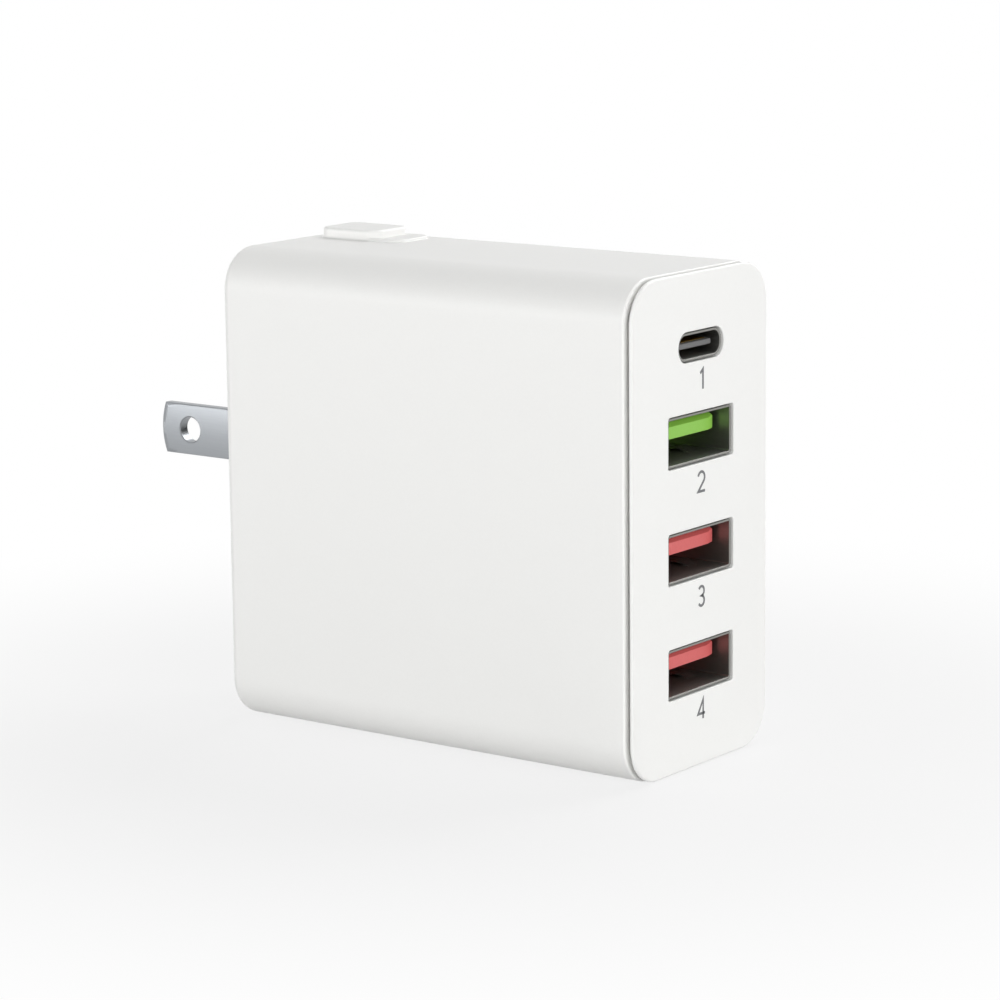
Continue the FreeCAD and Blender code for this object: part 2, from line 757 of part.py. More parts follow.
def make_blade(side):
    """Flat brass blade with a round tip, a hole, and a narrow shank that ends in a wiping tail."""
    body = new_body(f"plug_blade_{side}")
    sketch = new_sketch(body, "x", ("pivot_y", "pivot_z"), f"{SIDES[side]} * blade_x")
    half = value("blade_width / 2")
    neck = value("shank_width / 2")
    shoulder = value("shoulder")
    tail_r = value("tail_radius")
    tip_r = value("blade_tip_radius")
    tip_centre = value("blade_length - blade_tip_radius")
    tail = -((tail_r ** 2 - neck ** 2) ** 0.5)
    tip = tip_centre + (tip_r ** 2 - half ** 2) ** 0.5
    corners = [(tail, neck), (shoulder, neck), (shoulder, half), (tip, half)]
    mirrored = [(along, -up) for along, up in reversed(corners)]
    upper = [FreeCAD.Vector(*point) for point in corners]
    lower = [FreeCAD.Vector(*point) for point in mirrored]
    for points in (upper, lower):
        for start, end in zip(points, points[1:]):
            sketch.addGeometry(Part.LineSegment(start, end))
    tip_middle = FreeCAD.Vector(tip_centre + tip_r, 0)
    tail_middle = FreeCAD.Vector(-tail_r, 0)
    tip_arc = sketch.addGeometry(Part.Arc(lower[0], tip_middle, upper[-1]))
    tail_arc = sketch.addGeometry(Part.Arc(upper[0], tail_middle, lower[-1]))
    hole_x = value("pivot_setback + blade_hole_reach")
    hole_r = value("blade_hole / 2")
    hole = sketch.addGeometry(Part.Circle(FreeCAD.Vector(hole_x, 0), FreeCAD.Vector(0, 0, 1), hole_r))
    joints = [(0, 2, 1, 1), (1, 2, 2, 1), (3, 2, 4, 1), (4, 2, 5, 1)]
    joints += [(tip_arc, 1, 3, 1), (tip_arc, 2, 2, 2), (tail_arc, 1, 0, 1), (tail_arc, 2, 5, 2)]
    for ends in joints:
        sketch.addConstraint(Sketcher.Constraint("Coincident", *ends))
    for line in (0, 2, 3, 5):
        sketch.addConstraint(Sketcher.Constraint("Horizontal", line))
    for line in (1, 4):
        sketch.addConstraint(Sketcher.Constraint("Vertical", line))
    sketch.addConstraint(Sketcher.Constraint("Coincident", tail_arc, 3, -1, 1))
    sketch.addConstraint(Sketcher.Constraint("Vertical", 0, 1, 5, 2))
    sketch.addConstraint(Sketcher.Constraint("Symmetric", 1, 2, 4, 1, -1))
    sketch.addConstraint(Sketcher.Constraint("PointOnObject", tip_arc, 3, -1))
    sketch.addConstraint(Sketcher.Constraint("PointOnObject", hole, 3, -1))
    dimensions = [
        ("shank", "shank_width", ("DistanceY", 5, 2, 0, 1, 2 * neck)),
        ("width", "blade_width", ("DistanceY", 4, 1, 1, 2, 2 * half)),
        ("step", "shoulder", ("DistanceX", -1, 1, 1, 1, shoulder)),
        ("tail", "tail_radius", ("Radius", tail_arc, tail_r)),
        ("tip", "blade_tip_radius", ("Radius", tip_arc, tip_r)),
        ("reach", "blade_length - blade_tip_radius", ("DistanceX", -1, 1, tip_arc, 3, tip_centre)),
        ("hole_place", "pivot_setback + blade_hole_reach", ("DistanceX", -1, 1, hole, 3, hole_x)),
        ("hole_size", "blade_hole", ("Diameter", hole, 2 * hole_r)),
    ]
    for name, text, constraint in dimensions:
        name_constraint(sketch, Sketcher.Constraint(*constraint), name, text)
    pad = body.newObject("PartDesign::Pad", new_name("pad"))
    pad.Profile = sketch
    pad.SideType = "Symmetric"
    bind(pad, "Length", "blade_thickness")
    DOC.recompute()
    tip_zone = depth_zone(value("rear_y + blade_hole_reach + blade_hole"), FAR)
    faces = around(f"{SIDES[side]} * blade_x", "blade_thickness / 2")
    rims = [name for face in faces for name in level_edges(pad, "x", face, tip_zone)]
    dress(body, "Chamfer", pad, rims, "blade_tip_chamfer")
    return body


def make_plug():
    """Blades moulded into a barrel that turns on two stub journals."""
    blades = [make_blade(side) for side in SIDES]
    pivot = ("pivot_y", "pivot_z")
    barrel = rod("x", "barrel_radius", pivot, both("barrel_half"))
    journals = rod("x", "journal_radius", pivot, both("pocket_half + journal_grip"))
    node(cut(fuse(barrel, journals), *blades), "plug_barrel")


def make_plug_bay():
    """Tub in the rear wall with a pocket for the barrel, a slot for each blade and a finger well."""
    body = new_body("plug_bay")
    centre = ("0", "(bay_low_z + bay_top_z) / 2")
    outline = ("2 * bay_half", "bay_top_z - bay_low_z", "bay_corner")
    extrude(body, "Pad", "y", centre, ("bay_front_y", "rear_y"), outline)
    flange = ("2 * bay_half", "bay_top_z - bay_low_z + 2 * bay_flange", "bay_corner")
    extrude(body, "Pad", "y", centre, ("rear_wall_y - bay_flange_thickness", "rear_wall_y"), flange)
    outside = f"rear_y + {OVERSHOOT}"
    across = both("pocket_half")
    block(body, "Subtractive", across, ("pocket_y", "lip_y"), ("pocket_low_z", "pocket_top_z"))
    block(body, "Subtractive", across, ("pocket_y", outside), ("pocket_low_z", "mouth_top_z"))
    for sign in SIDES.values():
        slot = around(f"{sign} * blade_x", "slot_half")
        block(body, "Subtractive", slot, ("slot_floor_y", outside), ("slot_low_z", "pivot_z"))
    well = ("slot_low_z", "slot_low_z + well_length")
    block(body, "Subtractive", both("well_half"), ("rear_y - well_depth", outside), well)
    hollow = ("bay_front_y - bay_wall", "rear_y - well_depth - bay_wall")
    block(body, "Subtractive", both("core_out_half"), hollow, ("slot_low_z", "core_out_top_z"))
    bearing = "journal_radius + bearing_clearance"
    bore(body, "x", bearing, ("pivot_y", "pivot_z"), both("bay_half + bay_wall"))
    for sign in SIDES.values():
        passage = around(f"{sign} * blade_x", "strip_width / 2 + fit_clearance")
        along = ("bay_front_y - bay_wall", "pocket_y + fit_clearance")
        up = ("strip_top_z - strip_thickness - fit_clearance", "strip_top_z + fit_clearance")
        block(body, "Subtractive", passage, along, up)


def make_contact_strips():
    """Stamped strips: a leaf behind each blade tail, a way through the bay and a run to the board."""
    outer = ("bay_front_y - strip_thickness", "bay_front_y")
    solder = ("board_face_x - strip_thickness", "board_face_x")
    fold = "strip_top_z - strip_thickness"
    for side, sign in SIDES.items():
        middle = f"{sign} * blade_x"
        across = around(middle, "strip_width / 2")
        leaf = box(across, ("pocket_y", "leaf_y"), around("pivot_z", "strip_width / 2"))
        through = box(across, (outer[0], "leaf_y"), (fold, "strip_top_z"))
        low = fold if side == "live" else f"{fold} + strip_rise"
        band = (low, f"{low} + strip_width")
        riser = box(across, outer, (fold, band[1]))
        run = box((f"{middle} - strip_width / 2", solder[1]), outer, band)
        tail = box(solder, (f"{outer[0]} - strip_tail", outer[1]), band)
        node(fuse(leaf, through, riser, run, tail), f"contact_strip_{side}")


# Boards and the parts on them

def leads(places, radius="lead_radius", start="board_face_x"):
    """Wire leads through the main board at (y, z) places, which the board is then drilled for."""
    LEADS.extend((place, radius) for place in places)
    return [rod("x", radius, place, (start, "lead_tip_x")) for place in places]


def make_capacitor(label, radius, length, pitch, place_y, place_z):
    """Round can that stands on the main board, with the rolled groove above its seal, on two leads."""
    centre = (place_y, place_z)
    seat = "board_face_x - can_rim"
    neck = f"{seat} - can_rim"
    rim = rod("x", radius, centre, (seat, "board_face_x"))
    groove = rod("x", f"{radius} - can_groove", centre, (neck, seat))
    can = rod("x", radius, centre, (f"board_face_x - {length}", neck))
    feet = leads([(place_y, foot) for foot in spread(place_z, 2, pitch)])
    node(fuse(rim, groove, can, *feet), label)


def make_capacitors():
    """Two mains reservoir cans and three output cans."""
    for index in range(BULK_COUNT):
        make_capacitor(
            f"bulk_capacitor_{index + 1}",
            "bulk_radius",
            "bulk_length",
            "bulk_lead_pitch",
            "port_back_y + bulk_start",
            f"bulk_low + {index} * bulk_pitch",
        )
    for index in range(OUTPUT_COUNT):
        make_capacitor(
            f"output_capacitor_{index + 1}",
            "output_radius",
            "output_length",
            "output_lead_pitch",
            "port_back_y + output_start",
            f"output_low + {index} * output_pitch",
        )


def make_transformer():
    """Ferrite core round a wound bobbin, standing on two pin rails."""
    mid_x, mid_y, mid_z = "transformer_x", "transformer_y", "transformer_z"
    frame = box(
        around(mid_x, "core_depth / 2"),
        around(mid_y, "core_width / 2"),
        around(mid_z, "core_height / 2"),
    )
    windows = []
    for low, high in (
        (f"{mid_y} - core_width / 2 + core_side_leg", f"{mid_y} - core_centre_leg / 2"),
        (f"{mid_y} + core_centre_leg / 2", f"{mid_y} + core_width / 2 - core_side_leg"),
    ):
        windows.append(box(around(mid_x, "core_depth"), (low, high), around(mid_z, "window_half_z")))
    node(cut(frame, *windows), "transformer_core")

    tube = box(around(mid_x, "tube_half_x"), around(mid_y, "tube_half_y"), around(mid_z, "flange_half_z"))
    flanges = []
    rails = []
    pins = []
    for sign in (-1, 1):
        inner = f"{mid_z} + {sign} * coil_half_z"
        outer = f"{mid_z} + {sign} * flange_half_z"
        end = f"{mid_z} + {sign} * core_height / 2"
        flange_z = (inner, outer) if sign > 0 else (outer, inner)
        rail_z = (inner, end) if sign > 0 else (end, inner)
        flange_x = (f"{mid_x} - coil_half_x", "rail_x + bobbin_wall")
        flanges.append(box(flange_x, around(mid_y, "coil_half_y"), flange_z))
        rails.append(box(("rail_x", "board_face_x"), around(mid_y, "core_width / 2"), rail_z))
        row = f"{mid_z} + {sign} * (core_height / 2 - core_yoke / 2)"
        pins += [(place, row) for place in spread(mid_y, PINS_A_RAIL, "transformer_pin_pitch")]
    leg = box(
        around(mid_x, "core_depth / 2 + core_clearance"),
        around(mid_y, "core_centre_leg / 2 + core_clearance"),
        around(mid_z, "core_height / 2"),
    )
    node(fuse(cut(fuse(tube, *flanges), leg), *rails), "transformer_bobbin")

    coil = box(around(mid_x, "coil_half_x"), around(mid_y, "coil_half_y"), around(mid_z, "coil_half_z"))
    node(cut(coil, tube), "transformer_winding")
    node(fuse(*leads(pins, "transformer_pin_radius")), "transformer_pins")


def make_choke():
    """Toroid that stands on edge on the main board, with two windings."""
    mid_y = "port_back_y + choke_start"
    mid_x = "board_face_x - choke_gap - choke_outer - choke_wire"
    centre = (mid_x, "choke_centre")
    half = "choke_thickness / 2"
    ring = cut(
        rod("y", "choke_outer", centre, around(mid_y, half)),
        rod("y", "choke_inner", centre, around(mid_y, half)),
    )
    node(ring, "choke_core")
    wound = f"{half} + choke_wire"
    sleeve = rod("y", "choke_outer + choke_wire", centre, around(mid_y, wound))
    eye = rod("y", "choke_inner - choke_wire", centre, around(mid_y, wound))
    parting = box(
        around(mid_x, "choke_outer + 2 * choke_wire"),
        around(mid_y, "choke_thickness"),
        around("choke_centre", "choke_inner / 2"),
    )
    coils = cut(sleeve, eye, ring, parting)
    feet = []
    for sign in "+-":
        place_z = f"choke_centre {sign} (choke_outer + choke_wire / 2)"
        feet += leads([(place_y, place_z) for place_y in spread(mid_y, 2, half)], start=mid_x)
    node(fuse(coils, *feet), "choke_winding")


def make_line_parts():
    """Mains side parts: line capacitor, fuse, bridge rectifier and the disc across the barrier."""
    start = "port_back_y + line_cap_start"
    case = box(
        ("board_face_x - line_cap_height", "board_face_x"),
        (start, f"{start} + line_cap_thickness"),
        ("line_cap_base", "line_cap_base + line_cap_width"),
    )
    mid_y = f"{start} + line_cap_thickness / 2"
    mid_z = "line_cap_base + line_cap_width / 2"
    ends = [(mid_y, foot) for foot in spread(mid_z, 2, "line_cap_lead_pitch")]
    node(fuse(case, *leads(ends)), "line_capacitor")

    fuse_x = "board_face_x - fuse_lift - fuse_radius"
    fuse_y = "port_back_y + fuse_start"
    barrel = rod("z", "fuse_radius", (fuse_x, fuse_y), around("fuse_centre", "fuse_length / 2"))
    ends = [(fuse_y, foot) for foot in spread("fuse_centre", 2, "fuse_lead_pitch")]
    node(fuse(barrel, *leads(ends, start=fuse_x)), "fuse")

    start = "port_back_y + bridge_start"
    case = box(
        ("board_face_x - bridge_height", "board_face_x"),
        (start, f"{start} + bridge_thickness"),
        ("bridge_base", "bridge_base + bridge_width"),
    )
    mid_y = f"{start} + bridge_thickness / 2"
    mid_z = "bridge_base + bridge_width / 2"
    ends = [(mid_y, foot) for foot in spread(mid_z, BRIDGE_LEADS, "bridge_lead_pitch")]
    node(fuse(case, *leads(ends)), "bridge_rectifier")

    start = "port_back_y + disc_start"
    disc_x = "board_face_x - lead_stub - disc_radius"
    disc = rod("y", "disc_radius", (disc_x, "disc_centre"), (start, f"{start} + disc_thickness"))
    mid_y = f"{start} + disc_thickness / 2"
    ends = [(mid_y, foot) for foot in spread("disc_centre", 2, "disc_lead_pitch")]
    node(fuse(disc, *leads(ends, start=disc_x)), "bridging_capacitor")


def make_boards():
    """Main board along the far side wall, drilled for its leads, and port board behind the sockets."""
    plate = box(
        ("board_face_x", "board_back_x"),
        ("port_back_y", "board_rear_y"),
        ("board_low_z", "board_top_z"),
    )
    through = (f"board_face_x - {OVERSHOOT}", f"board_back_x + {OVERSHOOT}")
    drills = [rod("x", f"{radius} + lead_clearance", place, through) for place, radius in LEADS]
    node(cut(plate, *drills), "main_board")

    board = new_body("port_board")
    extrude(board, "Pad", "y", CASE_CENTRE, ("port_board_y", "port_back_y"), inset("wall + board_margin"))

    back = ("board_back_x", "board_back_x + chip_height")
    chips = []
    for index in range(CHIP_COUNT):
        low = f"chip_low + {index} * chip_pitch"
        along = ("port_back_y + chip_start", "port_back_y + chip_start + chip_length")
        chips.append(box(back, along, (low, f"{low} + chip_width")))
    node(fuse(*chips), "board_chips")

    behind = ("port_back_y", "port_back_y + chip_height")
    chips = []
    for index in range(USB_A_COUNT):
        middle = f"(port_chip_low + {index} * usb_a_pitch)"
        chips.append(box(both("chip_length / 2"), behind, around(middle, "chip_width / 2")))
    node(fuse(*chips), "port_chips")


def make_heat_parts():
    """Heat spreader on the near wall, soft pad from the winding to it, and sheet behind the main board."""
    along = ("port_back_y + sheet_margin", "bay_front_y - sheet_margin")
    up = ("sheet_low_z", "sheet_top_z")
    node(box(("-inner_x", "spreader_x"), along, up), "heat_spreader")
    node(box(("sheet_x", "inner_x"), along, up), "insulating_sheet")
    pad = box(
        ("spreader_x", "transformer_x - coil_half_x"),
        around("transformer_y", "pad_size / 2"),
        around("transformer_z", "pad_size / 2"),
    )
    node(pad, "thermal_pad")


def check_document():
    """Stop if any object failed or any sub-part has no sound solid."""
    DOC.recompute()
    for item in DOC.Objects:
        if "Invalid" in item.State or "Error" in item.State:
            raise RuntimeError(f"{item.Name} ({item.Label}) failed: {item.State}")
    for item in NODES:
        if item.Shape.isNull() or not item.Shape.isValid() or not item.Shape.Solids:
            raise RuntimeError(f"{item.Label} has no sound solid")


def export_nodes():
    """Write each sub-part to a STEP file named for it."""
    os.makedirs("parts", exist_ok=True)
    for item in NODES:
        item.Shape.exportStep(os.path.join("parts", f"{item.Label}.step"))
        print(item.Label, len(item.Shape.Solids), round(item.Shape.Volume, 2))


fill_sheet()
make_housing()
make_port_panel()
for port in range(USB_A_COUNT):
    make_usb_a(port)
make_usb_c()
make_plug()
make_plug_bay()
make_contact_strips()
make_capacitors()
make_transformer()
make_choke()
make_line_parts()
make_boards()
make_heat_parts()
check_document()
export_nodes()
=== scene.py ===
"""Looks of a four-port USB wall charger with a folding plug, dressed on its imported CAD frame.

Lengths are in millimetres unless a name says otherwise. X runs across the thin way, the ports look to -Y,
the plug to +Y, and Z is up.
"""

import logging
import math
from dataclasses import dataclass, field, replace
from enum import Enum, IntEnum

import bmesh
import bpy
import numpy as np
from mathutils import Matrix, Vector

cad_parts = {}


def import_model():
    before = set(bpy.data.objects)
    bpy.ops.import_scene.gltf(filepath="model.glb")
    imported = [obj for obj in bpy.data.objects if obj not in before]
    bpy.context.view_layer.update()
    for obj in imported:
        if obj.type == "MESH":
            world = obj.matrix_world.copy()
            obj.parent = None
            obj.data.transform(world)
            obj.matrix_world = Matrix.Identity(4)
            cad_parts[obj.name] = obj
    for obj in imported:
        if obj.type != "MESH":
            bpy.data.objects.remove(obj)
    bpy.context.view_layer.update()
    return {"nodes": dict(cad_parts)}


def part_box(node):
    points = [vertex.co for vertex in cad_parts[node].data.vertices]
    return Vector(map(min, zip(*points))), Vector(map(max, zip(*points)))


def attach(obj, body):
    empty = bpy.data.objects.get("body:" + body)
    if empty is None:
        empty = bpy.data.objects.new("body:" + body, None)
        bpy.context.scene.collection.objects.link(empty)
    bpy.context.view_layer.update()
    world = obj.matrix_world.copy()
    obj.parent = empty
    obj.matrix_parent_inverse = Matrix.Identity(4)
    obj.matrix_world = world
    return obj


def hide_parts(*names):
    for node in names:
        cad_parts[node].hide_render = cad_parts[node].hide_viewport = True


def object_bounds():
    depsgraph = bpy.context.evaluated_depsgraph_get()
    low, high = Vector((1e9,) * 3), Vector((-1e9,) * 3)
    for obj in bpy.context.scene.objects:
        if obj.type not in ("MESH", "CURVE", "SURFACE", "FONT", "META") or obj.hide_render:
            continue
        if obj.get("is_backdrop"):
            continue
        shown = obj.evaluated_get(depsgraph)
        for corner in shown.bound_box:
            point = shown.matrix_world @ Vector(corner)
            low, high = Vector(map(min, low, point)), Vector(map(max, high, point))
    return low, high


LOG = logging.getLogger("charger")

MM = 0.001
WHITE = (1.0, 1.0, 1.0, 1.0)

# Even steps on the quarter circles of an outline and of a fine edge
CORNER_STEPS = 14
EDGE_STEPS = 5

# Points this near are one, and an edge that turns by more than this stays sharp
MERGE_M = 1e-7
SHARP_DEG = 32.0
BEVEL_SEGMENTS = 2

# Layers of a grain, and the width of one band of a wave at a scale of one
GRAIN_DETAIL = 3.0
BAND_WIDTH = math.pi / 10

# Sizes that two sub-assemblies share
CASE_WALL = 2.0
PANEL_CORNER = 4.9
SOCKET_SHEET = 0.3
SOCKET_EDGE = 0.1
BARREL_RADIUS = 3.5
SHANK_WIDTH = 3.6
BAY_FLANGE = 1.2

# Numbers of a Mix node's sockets, because its colour sockets share their names with others
MIX_FACTOR = 0
MIX_FIRST_COLOUR = 6
MIX_SECOND_COLOUR = 7
MIX_COLOUR = 2

Points = np.ndarray


class Body(Enum):
    """Rigid bodies of the frame that a piece can ride on."""

    CHARGER = "charger"
    PLUG = "plug"


class Axis(IntEnum):
    """Axis that a flat outline is carried along, and its place in a point."""

    X = 0
    Y = 1
    Z = 2


class Pattern(Enum):
    """Kinds of fine surface pattern, each with the texture node that draws it."""

    GRAIN = "ShaderNodeTexNoise"
    CELLS = "ShaderNodeTexVoronoi"
    BANDS = "ShaderNodeTexWave"

    @property
    def period(self) -> float:
        """Width of one repeat at a scale of one."""
        return BAND_WIDTH if self is Pattern.BANDS else 1.0


# Colours and materials


def linear(hex_colour: str) -> tuple[float, float, float, float]:
    """Turn an sRGB hex colour into linear light.

    Args:
        hex_colour: six hex digits, with or without a leading hash sign.

    Returns:
        Red, green, blue and an alpha of one.
    """
    digits = hex_colour.lstrip("#")
    srgb = np.array([int(digits[place:place + 2], 16) for place in (0, 2, 4)]) / 255.0
    low = srgb / 12.92
    high = ((srgb + 0.055) / 1.055) ** 2.4
    red, green, blue = np.where(srgb <= 0.04045, low, high)
    return float(red), float(green), float(blue), 1.0


def add_node(
    tree: bpy.types.NodeTree, kind: str, inputs: dict | None = None, **settings: object
) -> bpy.types.Node:
    """Add a node with its settings, and link or set each named input.

    Args:
        tree: node tree that the node goes into.
        kind: Blender's name of the node type.
        inputs: input name or number to a socket to link or a value to set.
        **settings: properties of the node itself.

    Returns:
        The new node.
    """
    node = tree.nodes.new(kind)
    for name, setting in settings.items():
        setattr(node, name, setting)
    for name, source in (inputs or {}).items():
        if isinstance(source, bpy.types.NodeSocket):
            tree.links.new(source, node.inputs[name])
        else:
            node.inputs[name].default_value = source
    return node


@dataclass(frozen=True)
class Texture:
    """Fine pattern of a surface: its spacing, its height, how far it moves the gloss, and its stretch."""

    spacing: float
    height: float
    gloss_change: float
    pattern: Pattern = Pattern.GRAIN
    stretch: tuple[float, float, float] = (1.0, 1.0, 1.0)

    def socket(self, tree: bpy.types.NodeTree) -> bpy.types.NodeSocket:
        """Draw the pattern from Object coordinates, with its spacing in millimetres.

        Args:
            tree: node tree of the material.

        Returns:
            Socket with the pattern's height from zero to one.
        """
        place = add_node(tree, "ShaderNodeTexCoord")
        mapped = add_node(
            tree, "ShaderNodeMapping", {"Vector": place.outputs["Object"], "Scale": self.stretch}
        )
        inputs = {"Vector": mapped.outputs["Vector"], "Scale": self.pattern.period / (self.spacing * MM)}
        if self.pattern is Pattern.GRAIN:
            inputs["Detail"] = GRAIN_DETAIL
        drawn = add_node(tree, self.pattern.value, inputs)
        # The turns of a winding lie one above the other
        if self.pattern is Pattern.BANDS:
            drawn.bands_direction = Axis.Z.name
        return drawn.outputs[0]


@dataclass(frozen=True)
class Finish:
    """A real material and how its surface was made."""

    name: str
    colour: str
    shade: str
    roughness: float
    texture: Texture
    metallic: float = 0.0
    ior: float = 1.5

    def material(self) -> bpy.types.Material:
        """Make the material once, and give the same one after that.

        Returns:
            Procedural material with a Principled shader.
        """
        known = bpy.data.materials.get(self.name)
        if known:
            return known
        made = bpy.data.materials.new(self.name)
        made.use_nodes = True
        tree = made.node_tree
        shader = tree.nodes["Principled BSDF"]
        shader.inputs["Metallic"].default_value = self.metallic
        shader.inputs["IOR"].default_value = self.ior
        height = self.texture.socket(tree)
        tint = add_node(
            tree,
            "ShaderNodeMix",
            {
                MIX_FACTOR: height,
                MIX_FIRST_COLOUR: linear(self.colour),
                MIX_SECOND_COLOUR: linear(self.shade),
            },
            data_type="RGBA",
        )
        gloss = add_node(
            tree,
            "ShaderNodeMapRange",
            {
                "Value": height,
                "To Min": self.roughness - self.texture.gloss_change,
                "To Max": self.roughness + self.texture.gloss_change,
            },
        )
        bump = add_node(
            tree,
            "ShaderNodeBump",
            {"Height": height, "Strength": 1.0, "Distance": self.texture.height * MM},
        )
        tree.links.new(tint.outputs[MIX_COLOUR], shader.inputs["Base Color"])
        tree.links.new(gloss.outputs["Result"], shader.inputs["Roughness"])
        tree.links.new(bump.outputs["Normal"], shader.inputs["Normal"])
        return made


class Material(Enum):
    """The charger's materials, named for what each one is and how it was made.

    Mould grain and rolling lines are drawn coarser than they are, so that a render can show them.
    """

    # Case and cap: even white with a soft, broad sheen
    CASE = Finish("white_abs_moulded_satin", "F5F5F3", "F2F2F0", 0.45, Texture(0.35, 0.0012, 0.03), ior=1.49)
    # Tub and barrel: a little warmer and flatter than the case
    TUB = Finish("white_nylon_moulded_matt", "EDEDE9", "E6E6E2", 0.48, Texture(0.3, 0.002, 0.04), ior=1.53)
    # Blades: silver grey, with fine lengthwise rolling lines that draw out the highlights
    BLADE = Finish(
        "nickel_plated_brass_stamped", "979A9D", "8E9195", 0.33,
        Texture(0.18, 0.0008, 0.06, stretch=(1.0, 0.04, 1.0)), metallic=1.0,
    )
    # Socket shells: bright plate that goes dark where the socket closes in
    SOCKET = Finish(
        "nickel_plated_steel_folded", "9C9C98", "91918D", 0.46,
        Texture(0.25, 0.0008, 0.05, stretch=(1.0, 0.1, 1.0)), metallic=1.0,
    )
    # Tongues of the lower sockets: dense dye with a soft sheen
    GREEN = Finish("green_nylon_moulded", "92CE50", "89C547", 0.36, Texture(0.2, 0.001, 0.04), ior=1.53)
    RED = Finish("red_nylon_moulded", "DE6766", "D45E5D", 0.36, Texture(0.2, 0.001, 0.04), ior=1.53)
    # Tongue of the upper socket: dull middle grey
    GREY = Finish("grey_polymer_moulded", "6A6A6A", "626262", 0.45, Texture(0.2, 0.001, 0.04), ior=1.6)
    # Socket contacts: thin plate, warm and bright
    GOLD = Finish(
        "gold_plated_bronze_stamped", "D9B25F", "CDA452", 0.25,
        Texture(0.15, 0.0005, 0.05), metallic=1.0,
    )
    # Strips to the main board: bare yellow metal, duller than the gold
    STRIP = Finish("brass_strip_stamped", "C9A25A", "B98F48", 0.34, Texture(0.2, 0.0008, 0.06), metallic=1.0)
    # Numbers: flat grey film that lies on the plastic
    INK = Finish("grey_ink_pad_printed", "6E6F71", "77787A", 0.55, Texture(0.12, 0.0006, 0.05), ior=1.48)
    # Capacitor cans: tight blue-black skin, half glossy
    SLEEVE = Finish(
        "black_polyester_sleeve_shrunk", "1B1D26", "232632", 0.38, Texture(0.6, 0.002, 0.05), ior=1.54
    )
    # Cores: dark and dry, with a sandy grain
    FERRITE = Finish("grey_ferrite_fired", "2C2C2E", "38383A", 0.72, Texture(0.4, 0.006, 0.08), ior=2.0)
    # Coil former: plain black with a low sheen
    BOBBIN = Finish("black_phenolic_moulded", "191919", "222222", 0.55, Texture(0.3, 0.003, 0.06), ior=1.6)
    # Chips: matt black with a peppered grain
    CHIP = Finish("black_epoxy_moulded", "1C1C1E", "242427", 0.6, Texture(0.12, 0.003, 0.05), ior=1.55)
    # Wrapped coil and capacitor: glossy amber with a soft ridge at each turn
    TAPE = Finish(
        "yellow_polyester_tape_wound", "D9A52B", "CC981F", 0.3,
        Texture(2.4, 0.02, 0.05, Pattern.BANDS), ior=1.64,
    )
    # Choke wire: deep copper red, ridged by its turns
    COPPER = Finish(
        "enamelled_copper_wound", "B5652D", "A15422", 0.28,
        Texture(0.5, 0.05, 0.05, Pattern.BANDS), metallic=1.0,
    )
    # Bridging capacitor: smooth blue drop with a soft shine
    DISC = Finish("blue_epoxy_dipped", "2F62A8", "2A5897", 0.35, Texture(0.8, 0.01, 0.04), ior=1.55)
    # Fuse: clean off-white with a faint glaze
    TUBE = Finish("white_ceramic_tube_fired", "E4E0D4", "DAD5C7", 0.4, Texture(0.3, 0.002, 0.05), ior=1.6)
    # Boards: dark green with paler patches where copper lies under the mask
    BOARD = Finish(
        "green_glass_epoxy_masked", "1F5A33", "2C6B40", 0.36,
        Texture(2.2, 0.02, 0.06, Pattern.CELLS), ior=1.55,
    )
    # Heat spreader: pale metal with long rolling lines
    SPREADER = Finish(
        "aluminium_sheet_rolled", "C6C8CA", "B8BABD", 0.38,
        Texture(0.3, 0.001, 0.06, stretch=(1.0, 0.05, 1.0)), metallic=1.0,
    )
    # Insulating sheet: smooth cream with slow waves
    FILM = Finish("cream_polyester_film_cast", "E3DFCB", "D9D4BD", 0.3, Texture(3.0, 0.01, 0.05), ior=1.64)
    # Thermal pad: soft, dull blue-grey
    PAD = Finish("grey_silicone_pad_cast", "9AA3AD", "8E97A1", 0.7, Texture(0.5, 0.01, 0.06), ior=1.41)
    # Coil pins: clear bright grey
    PIN = Finish(
        "tinned_steel_wire_drawn", "BFC0C2", "B0B1B4", 0.32, Texture(0.2, 0.001, 0.06), metallic=1.0
    )


# Surfaces


def arc(centre: tuple[float, float], radius: float, start: float, stop: float, steps: int) -> Points:
    """Points at even angles, in degrees: the centre plus the radius times the cosine and sine of each."""
    angles = np.radians(np.linspace(start, stop, steps + 1))
    return np.column_stack([centre[0] + radius * np.cos(angles), centre[1] + radius * np.sin(angles)])


